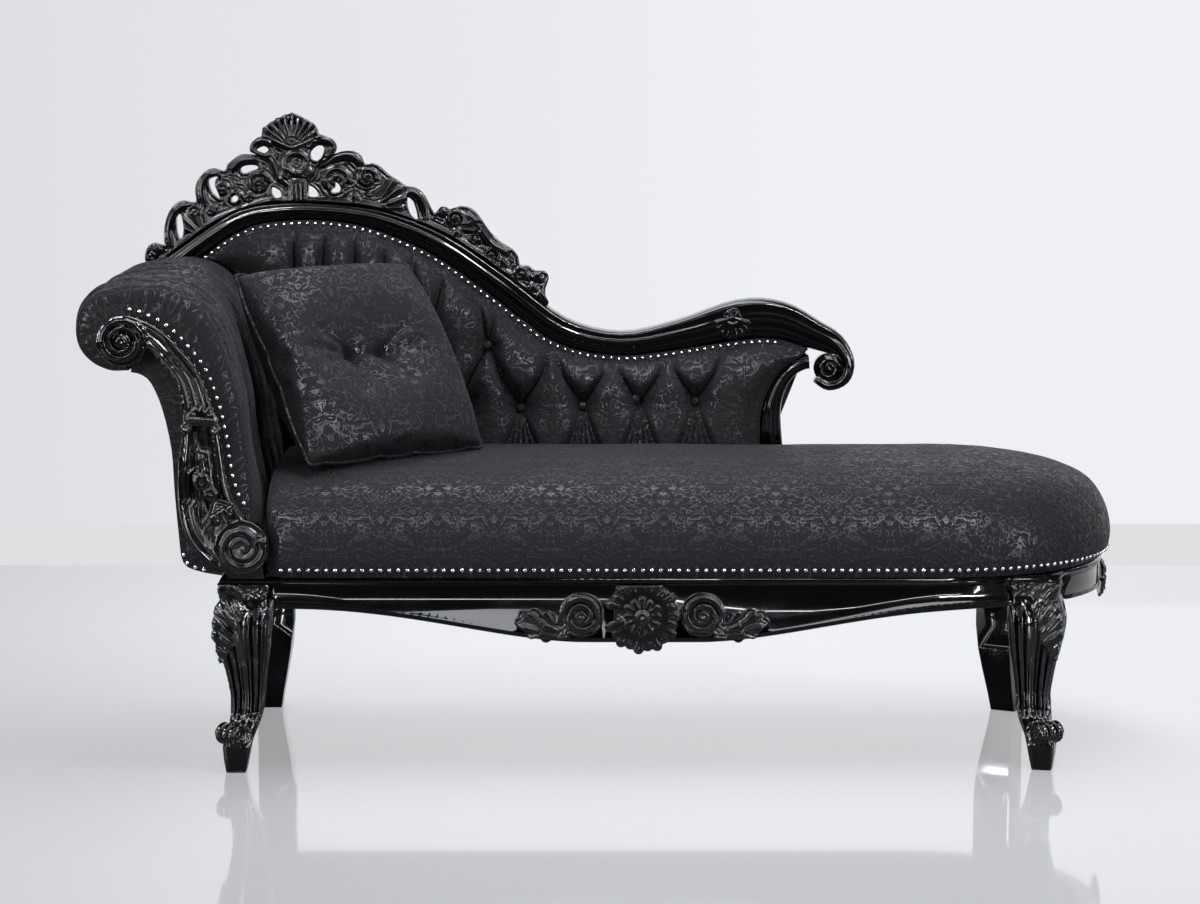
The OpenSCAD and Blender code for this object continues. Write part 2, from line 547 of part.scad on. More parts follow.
// Arm
// Outside of the arm, from under the roll down to the seat frame
OUTER = [[-186, 350], [-169, 346], [-152, 331], [-134, 287], [-120, 220], [-116, 152], [-110, 76],
    [-103, 28], [-76, 13],
    [-38, 6]];
outer_path = [for (p = smooth([for (p = OUTER) on_arm([p[0], p[1], 0])], 3)) xy(p)];
// Middle of the arm frame, just inside the outer panel: place and thickness
core_w = 42;
core = concat([[roll_x, roll_z, 56],
    [lerp(roll_x, outer_path[8].x, 0.34), lerp(roll_z, outer_path[8].y, 0.2), 50]],
    [for (i = [8:19]) let(p = outer_path[i] + side(outer_path, i)*(arm_panel_t + core_w/2)) [p.x, p.y,
        core_w]]);
core_r = 28.4;                                   // radius of the wood inside the roll
// Inside of the pad, on the frame: up its side and round the roll
core_up = reverse([for (i = [1:len(core) - 1]) xy(core[i]) + side(core, i)*core[i][2]/2]);
arm_back = concat([for (k = [0:14]) pick(core_up, k/14)], arc([roll_x, roll_z], core_r, 20, 284, 9));
panel_in = [for (i = [0:len(outer_path) - 1]) outer_path[i] + side(outer_path, i)*arm_panel_t];
module arm_section() offset(delta = -seat_gap)
    polygon(concat([[frame_head + 10, frame_top], [head_x + 32, frame_top],
    [head_x + 24, frame_top + 66]], arm_back, panel_in));
module arm_front_post() color(RAW) slab(arm_y0 + 8, arm_post_t) arm_section();
// Covered lining over the front of the arm frame, behind the carved facing
module arm_front_lining() color(FABRIC) slab(arm_y0, 7.8) arm_section();
module arm_back_post() color(RAW) slab(arm_y1 - 8 - arm_post_t, arm_post_t) arm_section();
arm_span = arm_y1 - arm_y0 - 16 - 2*arm_post_t;
arm_in = arm_y0 + 8 + arm_post_t;
module arm_bottom_rail() color(RAW) translate([frame_head + 2, arm_in + 0.02, frame_top])
    cube([36, arm_span - 0.04, 62]);
module arm_stuffing_rail() color(RAW)
    translate([head_x - 84*arm_kx - 12, arm_in + 0.02, frame_top + 150*arm_kz - 25])
    cube([24, arm_span - 0.04, 50]);
module arm_top_rail() color(RAW) translate([roll_x, arm_in + 0.02, roll_z]) rotate([-90, 0, 0])
    cylinder(h = arm_span - 0.04, r = core_r - 1.3, $fn = 48);

// Outside of the arm pad at its front edge, from the seat up over the roll
ARM_FACE = [[6, 70], [4, 120], [-2, 170], [-10, 235], [-19, 300], [-36, 365], [-58, 425], [-88, 462],
    [-130, 484],
    [-170, 491]];
arm_face = [for (p = smooth([for (p = ARM_FACE) on_arm([p[0], p[1], 0])], 2)) xy(p)];
arm_front = concat([for (i = [0, 2, 4, 5, 6, 7, 8, 9, 10, 11, 12, 13, 14, 15, 16, 18]) arm_face[i]],
    arc([roll_x, roll_z + 8], roll_r, 68, 284, 8));
arm_tufts = [for (k = [0:3]) 115 + k*tuft_pitch];
// Rows of the pad, close together at the tufts
arm_rows = concat([0, 10, 58], [for (t = arm_tufts) each [t - 14, t, t + 14, t + tuft_pitch/2]],
    [arm_y1 - arm_y0 - 24, arm_y1 - arm_y0]);
module arm_pad() color(FABRIC) loft(hook = true,
    [for (d = arm_rows) let(y = arm_y0 + d, swell = arm_swell(d/(arm_y1 - arm_y0)))
    concat([for (k = [0:len(arm_front) - 1]) arm_point(k, swell, y)],
        [for (p = reverse(arm_back)) [p.x, y, p.y]])]);
function arm_swell(v) = arm_crown*min(1, 3.2*sqrt(clamp01(v*(1 - v))));
// the point of the section with the buttons
arm_button_k = find_z(arm_front, frame_top + arm_button_h*arm_kz);
arm_button_z = arm_front[arm_button_k].y;
function arm_tuft(y, z) = max([for (t = arm_tufts) let(d = [y - arm_y0 - t, z - arm_button_z])
    bell(norm(d), 26) + 0.45*bell(d.x, 9)*clamp01(1 - abs(d.y)/120)]);
function arm_point(k, swell, y) = let(f = arm_front, t = unit(f[min(k + 1, len(f) - 1)] - f[max(k - 1, 0)]),
    share = k < 16 ? clamp01(1.15 - 0.07*abs(k - 6)) : max(0, 0.4 - 0.12*(k - 16)),
    d = swell*share - (k < 16 ? arm_tuft(y, f[k].y)*tuft_depth*0.5 : 0))
    [f[k].x + t.y*d, y, f[k].y - t.x*d];
function find_z(p, z) = let(m = min([for (q = p) abs(q.y - z)])) [for (i = [0:len(p) - 1])
    if (abs(p[i].y - z) == m) i][0];

module arm_outer_panel() color(FABRIC) slab(arm_y0, arm_y1 - arm_y0) polygon(concat(outer_path,
    reverse([for (i = [0:len(outer_path) - 1]) outer_path[i] + side(outer_path, i)*arm_panel_t])));

// Carved facing: place and width of the band, from the top scroll to the lower one
FACING = [[-214, 434, 18], [-190, 436, 24], [-165, 424, 32], [-138, 404, 40], [-112, 375, 42],
    [-87, 340, 44],
    [-73, 286, 54], [-69, 240, 66], [-69, 206, 76], [-67, 166, 84], [-61, 128, 94], [-50, 98, 102],
        [-32, 72, 100],
    [-14, 54, 84], [4, 42, 60]];
facing = smooth([for (p = FACING) on_arm(p)], 4);
lower_scroll = on_arm([-2, 58, 46]);
module disc(r, n) polygon(arc([0, 0], r, 3, 363 - 360/n, n - 1));
module arm_facing() color(LACQUER) union() {
    moulded(facing, facing_front, facing_t, REEDS);
    translate([roll_x + 11, 0, roll_z - 5]) {
        slab(facing_front - 1, facing_t + 1) disc(facing_volute_r, 48);
        slab(facing_front - 9, 10) polygon(band(coil(facing_volute_r, 2.6)));
        slab(y_front, boss_h) disc(facing_volute_r*0.2, 18);
    }
    translate([lower_scroll[0], 0, lower_scroll[1]]) {
        slab(facing_front - 0.3, facing_t + 0.3) disc(lower_scroll[2], 46);
        slab(facing_front - 6, 8) rotate(200) mirror([1, 0]) polygon(band(coil(lower_scroll[2], 2.1)));
    }
}
module arm_facing_band() color(LACQUER) translate([head_x - 66*arm_kx, 0, frame_top + 272*arm_kz])
    rotate([0, 4, 0]) {
    slab(facing_front - 7.5, 7) offset(r = 2) { square([52, 12], center = true); for (x = [-24, 24])
        translate([x, -12]) circle(r = 7, $fn = 20); }
    slab(facing_front - 10.5, 4) for (x = [-21:7:21]) translate([x, 2]) circle(r = 3.2, $fn = 16);
    slab(facing_front - 7.5, 6) for (a = [-150:30:-30]) rotate(a - 90) petal(26, 180, 8);
}
module arm_facing_leaf() color(LACQUER) translate([head_x - 66*arm_kx, 0, frame_top + 170*arm_kz]) {
    slab(facing_front - 7, 6.5) { circle(r = 15, $fn = 32); translate([14, -20]) circle(r = 12, $fn = 28); }
    slab(facing_front - 10, 4) { for (a = [0:60:300]) rotate(a) translate([8, 0]) circle(r = 4.4, $fn = 16);
        translate([14, -20]) for (a = [0:72:288]) rotate(a) translate([6, 0]) circle(r = 3.6, $fn = 16); }
    slab(facing_front - 6, 5.5) translate([20, -30]) for (a = [-40:20:40])
        petal(46 - abs(a)*0.3, 180 + 28 + a, 11);
}

button_lift = 6;                                 // from the bottom of a tuft to its button
button_shank = button_lift + 4.6 - 2 - 1;        // from a button on the back down to its tuft
module dome_button(d, h, shank = 0) rotate([90, 0, 0]) rotate_extrude($fn = 32)
    polygon(concat(shank > 0 ? [[0, -2 - shank], [0.5, -2 - shank], [3, -2]] : [[0, -2]],
        [[d*0.4, -2]], [for (a = [0:15:90]) [d/2*cos(a), h*sin(a)]]));
module arm_tuft_buttons() color(FABRIC) for (t = arm_tufts) {
    q = arm_point(arm_button_k, arm_swell(t/(arm_y1 - arm_y0)), arm_y0 + t);
    translate([q.x + button_lift + 4.6, q.y, q.z]) rotate([0, 0, 90]) dome_button(button_d*0.9, 5);
}

module arm_nail_trim() color(STEEL) {
    // along the outside of the facing, on the front of the pad
    line = [for (i = [4:len(facing) - 14]) xy(facing[i]) + side(facing, i)*(facing[i][2]/2 + 8)];
    // along the bottom of the outside panel
    low = [for (i = [len(outer_path) - 8:len(outer_path) - 3]) outer_path[i] + side(outer_path, i)*5];
    nails(concat([for (p = spaced(line, nail_pitch*1.1)) [[p.x, arm_y0 - 0.5, p.y], [0, -1, 0], nail_d]],
        [for (p = spaced(low, nail_pitch)) [[p.x, arm_y0 - 0.5, p.y], [0, -1, 0], nail_d*0.7]]));
}

// Back
// Crest rail: place and width of the band from behind the arm to the scroll at the foot end
CREST = [[-121, 528, 36], [-52, 569, 36], [25, 582, 34], [107, 581, 32], [198, 566, 38], [307, 521, 44],
    [416, 446, 47], [525, 365, 47], [635, 340, 42], [744, 356, 52], [854, 383, 71], [927, 382, 68],
    [990, 356, 53], [1028, 338, 42], [1050, 306, 30], [1044, 276, 25], [1017, 264, 21], [994, 277, 18]];
crest = smooth(concat([[roll_x + 28, roll_z + 74, 40]], [for (p = CREST) on_back(p)]), 4);
crest_low = edge(crest, -0.5);
crest_high = edge(crest, 0.5);
scroll_eye = on_back([1017, 294, scroll_r - 3]);
module crest_rail() color(LACQUER) union() {
    moulded(crest, crest_y, crest_t, MOULDING);
    translate([scroll_eye[0], 0, scroll_eye[1]]) {
        slab(crest_y + 5, crest_t - 5) circle(r = scroll_r, $fn = 56);
        slab(crest_y - 1, 8) polygon(band(coil(scroll_r - 3, 1.8)));
        slab(crest_y - 3, 9) circle(r = 5, $fn = 24);
    }
}

// Stile from the seat frame up to the scroll
STILE = [[917, 0, 50], [917, 90, 46], [913, 150, 42], [911, 190, 39], [913, 224, 34], [921, 252, 30],
    [934, 276, 27], [951, 294, 25], [970, 304, 25], [981, 306, 25]];
stile = smooth([for (p = STILE) on_back(p)], 3);
module back_foot_stile() color(LACQUER)
    moulded([for (i = [0:len(stile) - 1]) i == 0 ? [stile[0][0], frame_top + seat_gap, stile[0][2]]
        : stile[i]],
    crest_y, crest_t, MOULDING);

// Edges of the tufted panel
crest_n = 52;                                    // the last point of the rail over the panel
pad_top = [for (i = [0:crest_n]) crest_low[i] - side(crest, i)*0.6];
pad_right = let(e = edge([for (i = [0:len(stile) - 4]) stile[i]], 0.5)) [for (i = [1:len(e) - 1]) e[i]
    + side(stile, i)*0.6];
back_z0 = frame_top + 100;                       // lower edge of the panel, hidden by the seat
// Left edge, just clear of the arm: the same line as the arm face, a little nearer the seat
PAD_LEFT = [[6, 100], [4, 150], [-6, 235], [-15, 300], [-30, 372], [-52, 432], [-86, 476], [-130, 494]];
pad_left = [for (p = smooth([for (q = PAD_LEFT) on_arm([q[0] + 9, q[1] + 6, 0])], 3)) xy(p)];
function pick(p, t) = let(c = lengths(p)) at_length(p, c, min(t, 0.9999)*c[len(c) - 1]);
// A point of the panel: u from the arm to the stile, v from the seat to the rail
top_line = concat([pad_left[len(pad_left) - 1]], [for (i = [4:crest_n]) pad_top[i]]);
right_line = concat([[pad_right[0].x, back_z0]], [for (p = pad_right) if (p.y > back_z0 + 10) p],
    [pad_top[crest_n]]);
pad_border = 15;                                 // flat border under the rail, for the nails
top_inside = [for (i = [0:len(top_line) - 1]) xy(top_line[i]) - side(top_line, i)*pad_border];
function panel(u, v, top = top_line, k = 1) =
    let(l = pick(pad_left, v*k), r = pick(right_line, v*k), t = pick(top, u),
    b = [lerp(pad_left[0].x, right_line[0].x, u), back_z0],
    tl = pick(top, 0), tr = pick(top, 1), bl = pad_left[0], br = right_line[0])
    (1 - v)*b + v*t + (1 - u)*l + u*r - ((1 - u)*(1 - v)*bl + u*(1 - v)*br + (1 - u)*v*tl + u*v*tr);
// Buttons: one row right along, a second between them under the high part of the crest
tuft_row1 = [for (k = [0:6]) on_back([776 - k*tuft_pitch, 235, 0])];
tuft_row2 = [for (k = [0:3]) on_back([384 - k*tuft_pitch, 340, 0])];
// The pad is drawn on a grid; the last row is a flat border as wide as the nails need
pad_nu = 60;
pad_nv = 16;
back_pad_h = 300;                                // mean height of the pad
pad_rim = 8;                                     // thickness of the pad at its edge
function pad_grid() = [for (j = [0:pad_nv]) for (i = [0:pad_nu]) j == pad_nv ? panel(i/pad_nu, 1)
    : panel(i/pad_nu, j/(pad_nv - 1), top_inside, 1 - pad_border/back_pad_h)];
// Tufts go to the nearest crossing of the grid
function snap(b, g) = let(d = [for (p = g) norm(p - b)], m = min(d))
    g[[for (i = [0:len(d) - 1]) if (d[i] == m) i][0]];
function pleats(r1, r2) = concat([for (b = r2) [b, [b.x, b.y + 300]]],
    [for (k = [0:2]) [r1[k], [r1[k].x, r1[k].y + 300]]],
    [for (b = r2) each [[b, [b.x + tuft_pitch/2, r1[0].y]], [b, [b.x - tuft_pitch/2, r1[0].y]]]],
    [for (b = r1) each [[b, [b.x + 24, back_z0]], [b, [b.x - 24, back_z0]]]]);
function tuft(p, dots, lines) = min(1, max([for (b = dots) bell(norm(p - b), 26)])
    + 0.42*max([for (l = lines)
    bell(seg_dist(p, l[0], l[1]), 9)]));
// Rise of the pad away from its edges: i along, j up
function pad_e(i, j) = pow(clamp01(6.4*i/pad_nu*(1 - i/pad_nu)),
    0.4)*pow(clamp01(4.6*(j + 1.6)/pad_nv*(1 - (j + 1)/pad_nv)), 0.5);
module back_tufted_pad() color(FABRIC) {
    g = pad_grid();
    r1 = [for (b = tuft_row1) snap(xy(b), g)];
    r2 = [for (b = tuft_row2) snap(xy(b), g)];
    lines = pleats(r1, r2);
    m = pad_nu + 1;
    cu = pad_nu/4;
    cv = pad_nv/4;
    base = m*(pad_nv + 1);
    // round the front grid, and round the coarser grid on the back
    rim = concat([for (i = [0:pad_nu - 1]) i], [for (j = [0:pad_nv - 1]) pad_nu + j*m],
        [for (i = [pad_nu:-1:1]) i + pad_nv*m], [for (j = [pad_nv:-1:1]) j*m]);
    brim = [for (p = concat([for (i = [0:cu - 1]) i], [for (j = [0:cv - 1]) cu + j*(cu + 1)],
        [for (i = [cu:-1:1]) i + cv*(cu + 1)], [for (j = [cv:-1:1]) j*(cu + 1)])) base + p];
    nr = len(rim);
    polyhedron(points = concat([for (j = [0:pad_nv]) for (i = [0:pad_nu]) let(p = g[j*m + i])
            [p.x, back_plane - pad_depth(i, j, tuft(p, concat(r1, r2), lines)), p.y]],
        [for (j = [0:cv]) for (i = [0:cu]) let(p = panel(lerp(0.008, 0.992, i/cu), lerp(0.02, 0.98, j/cv)))
            [p.x, back_plane, p.y]]), convexity = 8,
        faces = concat([for (j = [0:pad_nv - 1]) for (i = [0:pad_nu - 1]) each let(a = j*m + i)
                [[a, a + m, a + 1], [a + 1, a + m, a + m + 1]]],
            [for (j = [0:cv - 1]) for (i = [0:cu - 1]) each let(a = base + j*(cu + 1) + i, b = a + cu + 1)
                [[a, a + 1, b], [a + 1, b + 1, b]]],
            [for (k = [0:nr - 1]) [rim[k], rim[(k + 1) % nr], brim[floor(k/4)]]],
            [for (k = [0:4:nr - 1]) [brim[k/4], rim[(k + 4) % nr], brim[(k/4 + 1) % len(brim)]]]));
}
function pad_depth(i, j, t) = let(e = pad_e(i, j)) pad_rim
    + (back_pad_t - pad_rim - 12)*e*(1 - 0.25*j/pad_nv) - t*tuft_depth*e;
module back_tuft_buttons() color(FABRIC) {
    g = pad_grid();
    for (t = concat(tuft_row1, tuft_row2)) {
        p = snap(xy(t), g);
        k = [for (i = [0:len(g) - 1]) if (g[i] == p) i][0];
        y = back_plane - pad_depth(k % (pad_nu + 1), floor(k/(pad_nu + 1)), 1);
        translate([p.x, y - button_lift - 4.6, p.y]) dome_button(button_d*0.8, 5, button_shank);
    }
}

module panel_outline() polygon(concat([for (i = [0:24]) panel(i/24, 0)], [for (j = [1:12]) panel(1, j/12)],
    [for (i = [23:-1:0]) panel(i/24, 1)], [for (j = [11:-1:1]) panel(0, j/12)]));
module back_hessian() color(JUTE) slab(back_plane + 0.3, 2) offset(delta = -1.2) panel_outline();

// Frame inside the back: posts on the seat frame, cut to the underside of the rail
module under_crest() difference() {
    children();
    offset(delta = 0.3) polygon(concat([[crest[0][0] - 200, frame_top + 900],
        [crest[0][0] - 200, crest_low[0].y]],
        [for (i = [0:crest_n]) crest_low[i]], [[crest[crest_n][0] + 200, frame_top + 900]]));
}
module back_head_post() color(RAW) slab(post_y, post_t) under_crest()
    translate([head_x - post_w/2, frame_top]) square([post_w, crest_rise]);
mid_x = head_x + 470*back_kx;
module back_middle_post() color(RAW) slab(post_y, post_t) under_crest()
    translate([mid_x - post_w/2, frame_top + 60 + back_rail_h]) square([post_w, crest_rise]);
module back_bottom_rail() color(RAW) translate([head_x + post_w/2, post_y, frame_top + 60])
    cube([stile_x - 27*back_kx - head_x - post_w/2, post_t, back_rail_h]);
module back_outer_panel() color(FABRIC) slab(y_back - back_panel_t, back_panel_t) offset(r = 1)
    polygon(concat(
    [[head_x - 40, frame_top + 4], [stile_x + 18, frame_top + 4], [stile_x + 12, frame_top + 200*back_kz]],
    [for (i = [crest_n:-1:0]) xy(crest[i])],
        [for (i = [2:len(outer_path) - 5]) outer_path[i] + side(outer_path, i)*3]));

module back_nail_trim() color(STEEL) {
    line = [for (i = [3:49]) crest_low[i] - side(crest, i)*5.4];
    nails([for (p = spaced(line, back_nail_pitch, 4)) [[p.x, back_plane - pad_rim - 0.4, p.y],
        [0, -1, 0], back_nail_d]]);
}

// Openwork crest
// A place on the rail: s along its upper edge from the middle of the crest, h above the edge
crest_c = lengths(crest_high);
crest_s0 = crest_c[find_x(crest_high, head_x + 38*back_kx)];
function find_x(p, x) = let(m = min([for (q = p) abs(q.x - x)])) [for (i = [0:len(p) - 1])
    if (abs(p[i].x - x) == m) i][0];
function rail_side(s) = let(i = find(crest_c, s + crest_s0)) lerp(side(crest, i), side(crest, i + 1),
    (s + crest_s0 - crest_c[i])/(crest_c[i + 1] - crest_c[i]));
function on_rail(s, h) = at_length(crest_high, crest_c, s + crest_s0) + unit(rail_side(s))*h;
function rail_turn(s) = let(n = rail_side(s)) atan2(-n.x, n.y);
module rail_place(s, h) translate(on_rail(s, h)) rotate(rail_turn(s)) children();
// A ribbon of carving: points as place along the rail, height above it, width
module ribbon(keys, k = 1) polygon(band(smooth([for (q = keys)
    let(p = on_rail(q[0], q[1])) [p.x, p.y, q[2]*k]], 5)));
module clear_of_rail() difference() {
    children();
    offset(delta = 0.3) polygon(band(crest));
}
// Outline of each piece of the crest, then its openings
LEFT_EDGE = [[-299, -6], [-302, 10], [-292, 27], [-277, 35], [-264, 32], [-254, 18], [-249, 27], [-232, 47],
    [-213, 62], [-195, 68], [-179, 65], [-164, 50], [-155, 66], [-145, 79], [-128, 88], [-115, 87],
        [-104, 74],
    [-98, 84], [-84, 93], [-74, 95], [-60, 90], [-44, 86], [-14, 60], [-8, -6]];
LEFT_HOLES = [[[-208, 46], [-197, 50], [-203, 32], [-213, 17], [-225, 10], [-222, 24]],
    [[-113, 71], [-126, 73], [-131, 65], [-133, 49], [-127, 31], [-125, 41], [-124, 56], [-121, 65]],
    [[-84, 70], [-78, 74], [-65, 73], [-57, 67], [-66, 63], [-82, 61]],
    [[-40, 30], [-27, 22], [-26, 10], [-38, 9], [-42, 20]],
        [[-110, 25], [-102, 27], [-99, 20], [-106, 15], [-112, 19]]];
LEFT_COILS = [[-62, 39, 23], [-117, 46, 12], [-104, 22, 14], [-283, 19, 13], [-266, 20, 10],
    [-176, 38, 13], [-82, 16, 9],
    [-148, 22, 10]];
LEFT_RIBS = [[[-244, 8, 8], [-232, 34, 8], [-212, 52, 9], [-190, 58, 8], [-172, 52, 5]],
    [[-152, 34, 6], [-144, 62, 8], [-128, 78, 9], [-112, 76, 6]],
        [[-94, 74, 7], [-80, 84, 8], [-58, 82, 6]],
    [[-250, 2, 5], [-200, 3, 6], [-150, 3, 6], [-60, 3, 6], [-24, 4, 5]]];
LEFT_LEAVES = [[-196, 4, 40, 30], [-190, 6, 42, 14], [-182, 6, 34, -4], [-172, 4, 28, -24]];
RIGHT_EDGE = [[8, -6], [14, 60], [42, 78], [58, 86], [74, 95], [93, 98], [107, 90], [114, 76],
    [125, 80], [138, 76],
    [152, 66], [172, 59], [185, 54], [199, 57], [214, 53], [228, 42], [242, 29], [249, 27], [252, 40],
        [260, 45],
    [268, 44], [281, 58], [298, 64], [316, 59], [334, 51], [355, 44], [375, 42], [397, 44], [414, 38],
        [424, 28],
    [436, 37], [450, 37], [459, 44], [468, 48], [479, 43], [486, 24], [497, 12], [507, 8], [509, -5]];
RIGHT_HOLES = [[[24, 30], [33, 26], [42, 12], [26, 9], [21, 18]],
    [[66, 41], [76, 35], [79, 24], [67, 19], [62, 24], [70, 31]],
    [[193, 36], [206, 32], [225, 4], [211, 6], [199, 20]]];
RIGHT_COILS = [[69, 42, 29], [121, 53, 20], [283, 33, 19], [298, 10, 9], [371, 12, 17], [397, 12, 9],
    [434, 18, 14],
    [461, 30, 10], [488, 10, 7], [467, 11, 8], [260, 34, 8], [104, 12, 9], [330, 20, 12]];
RIGHT_RIBS = [[[46, 70, 6], [66, 84, 8], [92, 88, 9], [106, 78, 6]],
    [[192, 46, 6], [208, 46, 8], [228, 28, 8], [238, 8, 6]],
    [[300, 52, 7], [330, 40, 9], [358, 30, 9], [392, 34, 7]],
        [[24, 4, 5], [90, 3, 6], [150, 3, 6], [270, 3, 6], [350, 2, 6], [420, 3, 6]]];
RIGHT_LEAVES = [[150, 20, 42, -22], [152, 14, 46, -40], [154, 8, 46, -58], [154, 4, 40, -76],
    [300, 22, 40, -66], [298, 30, 38, -44]];
module drawn(keys) polygon([for (p =
    smooth([for (q = keys) let(p = on_rail(q[0], q[1])) [p.x, p.y, 0]], 2)) xy(p)]);
module crest_field(edge, holes) clear_of_rail() difference() {
    // the outline, closed along the rail
    polygon(concat([for (p = smooth([for (q = edge) let(p = on_rail(q[0], q[1])) [p.x, p.y, 0]], 2)) xy(p)],
        [for (k = [11:-1:1]) on_rail(lerp(edge[0][0], edge[len(edge) - 1][0], k/12), -7)]));
    for (h = holes) drawn(concat(h, [h[0]]));
}
module half_crest(edge, holes, coils, ribs, leaves) {
    slab(crest_y + 8, carve_t) difference() {
        crest_field(edge, holes);
        offset(delta = seat_gap) shell_field();
    }
    slab(crest_y + 8 - relief_h, relief_h + 1) intersection() {
        union() {
            for (c = coils) rail_place(c[0], c[1]) { polygon(band(coil(c[2], 1.7))); circle(r =
                c[2]*0.24, $fn = 16); }
            for (r = ribs) ribbon(r);
            for (l = leaves) rail_place(l[0], l[1]) rotate(l[3]) petal(l[2], 0, 8);
        }
        offset(delta = -1.5) difference() { crest_field(edge, holes); shell_field(); }
    }
}
module crest_carving_left() color(LACQUER)
    half_crest(LEFT_EDGE, LEFT_HOLES, LEFT_COILS, LEFT_RIBS, LEFT_LEAVES);
module crest_carving_right() color(LACQUER)
    half_crest(RIGHT_EDGE, RIGHT_HOLES, RIGHT_COILS, RIGHT_RIBS, RIGHT_LEAVES);
SHELL_EDGE = [[-14, -6], [-13, 30], [-28, 42], [-32, 56], [-38, 76], [-50, 86], [-66, 98], [-62, 113],
    [-52, 121], [-45, 123],
    [-45, 135], [-27, 149], [-16, 155], [0, 161], [14, 153], [32, 140], [37, 125], [46, 121], [59, 116],
        [67, 103], [62, 88],
    [48, 74], [36, 64], [32, 48], [24, 36], [22, -6]];
SHELL_HOLES = [[[-58, 99], [-46, 105], [-39, 98], [-46, 91]],
    [[27, 79], [26, 91], [36, 103], [45, 103], [47, 96], [43, 82], [34, 75]]];
shell_z = 97;                                    // foot of the shell above the rail
module shell_field() crest_field(SHELL_EDGE, SHELL_HOLES);
module crest_shell() color(LACQUER) {
    slab(crest_y + 4, carve_t + 4) shell_field();
    slab(crest_y + 4 - relief_h, relief_h + 1) intersection() {
        union() {
            rail_place(0, 0) {
                translate([-2, shell_z]) fan(shell_r - 2, -66, 66, 11, 8.6);
                translate([4, 70]) difference() { circle(r = 22, $fn = 40); circle(r = 16, $fn = 32); }
                for (x = [-13, 20]) translate([x, 52]) polygon(band(coil(12, 1.6)));
                for (x = [-7, 1, 9, 16]) translate([x, 3]) square([3, 36]);
            }
            ribbon([[-40, 88, 5], [-60, 96, 6], [-60, 110, 7], [-46, 115, 7], [-32, 108, 5]]);
            ribbon([[24, 100, 5], [34, 112, 7], [54, 112, 8], [61, 100, 7], [54, 84, 5]]);
        }
        offset(delta = -1.5) shell_field();
    }
}
module rail_leaf() color(LACQUER) {
    slab(crest_y - 5, 4.7) rail_place(861, -26) { for (a = [-70:20:70])
        petal(40 - abs(a)*0.08, 168 + a, 13); circle(r = 16, $fn = 28); }
    slab(crest_y - 8, 4) rail_place(861, -26) { for (a = [-70:20:70]) petal(35 - abs(a)*0.08, 168 + a, 7);
        translate([4, 8]) polygon(band(coil(11, 1.5))); }
}

// Cushion
pillow_at = [head_x + 177*back_kx, seat_cy - 10, frame_top + seat_gap + pad_h
    + pillow_w/2*cos(pillow_lean) + 2*piping_r];
module pillow_place() translate(pillow_at) rotate([0, 0, pillow_turn]) rotate([-pillow_lean, 0, 0])
    children();
// Seam of the cushion: sides drawn in between sharp corners
function seam(a) = let(c = cos(a), s = sin(a), m = max(abs(c), abs(s)), q = min(abs(c), abs(s))/m)
    pillow_w/2*(0.93 + 0.07*pow(q, 3))*[c/m, s/m];
function pillow_tuft(p) = max([for (x = [-1, 1]) bell(norm(p - [x*pillow_w*0.085, 0]), 22)
    + 0.3*bell(p.y, 8)*clamp01(1 - abs(p.x - x*pillow_w*0.085)/60)]);
function pillow_h(p, t) = let(x = abs(p.x)/(pillow_w/2), y = abs(p.y)/(pillow_w/2))
    pillow_t/2*pow(max(0, (1 - pow(x, 2.4))*(1 - pow(y, 2.4))), 0.62)*(t > 0.999 ? 0 : 1);
pillow_n = 40;
pillow_m = 9;
module pillow() color(FABRIC) pillow_place() {
    rim = [for (k = [0:pillow_n - 1]) seam(360*k/pillow_n + 45)];
    loft([for (i = [-pillow_m:pillow_m]) let(t = 1 - pow(abs(i)/(pillow_m + 0.4), 1.25), f = i < 0 ? -1 : 1)
        [for (r = rim) let(p = r*t) [p.x, f*max(0.6,
            pillow_h(p, t) - (f < 0 ? pillow_tuft(p)*24 : 0))*(i == 0 ? 0 : 1), p.y]]]);
}
module pillow_piping() color(FABRIC) pillow_place() {
    n = 56;
    c = [for (k = [0:n - 1]) seam(360*k/n + 45)*(1 + (piping_r + 0.7)/(pillow_w/2*0.93))];
    polyhedron(points = [for (k = [0:n - 1])
        let(p = c[k], t = unit(c[(k + 1) % n] - c[(k + n - 1) % n])) each
            [for (a = [0:60:300]) [p.x + t.y*piping_r*cos(a), piping_r*sin(a) - 0.4,
                p.y - t.x*piping_r*cos(a)]]],
        faces = [for (k = [0:n - 1]) for (a = [0:5]) each let(b = (a + 1) % 6, q = (k + 1) % n)
            [[k*6 + a, q*6 + a, k*6 + b], [k*6 + b, q*6 + a, q*6 + b]]]);
}
module pillow_buttons() color(STEEL) pillow_place() for (x = [-1, 1])
    translate([x*pillow_w*0.085, -pillow_t/2 + 22.1, 0]) dome_button(14, 5);

front_seat_rail();
back_seat_rail();
head_seat_rail();
foot_seat_rail();
seat_frame_moulding();
front_head_leg();
front_foot_leg();
back_head_leg();
back_foot_leg();
corner_blocks();
leg_bolts();
cross_braces();
webbing_across();
webbing_along();
seat_hessian();
seat_pad();
seat_nail_trim();
dust_cover();
apron_shell();
apron_scroll_left();
apron_scroll_right();
foot_end_cartouche();
arm_front_post();
arm_front_lining();
arm_back_post();
arm_bottom_rail();
arm_stuffing_rail();
arm_top_rail();
arm_pad();
arm_outer_panel();
arm_facing();
arm_facing_band();
arm_facing_leaf();
arm_tuft_buttons();
arm_nail_trim();
back_head_post();
back_middle_post();
back_bottom_rail();
crest_rail();
back_foot_stile();
back_hessian();
back_tufted_pad();
back_outer_panel();
back_tuft_buttons();
back_nail_trim();
crest_shell();
crest_carving_left();
crest_carving_right();
rail_leaf();
pillow();
pillow_piping();
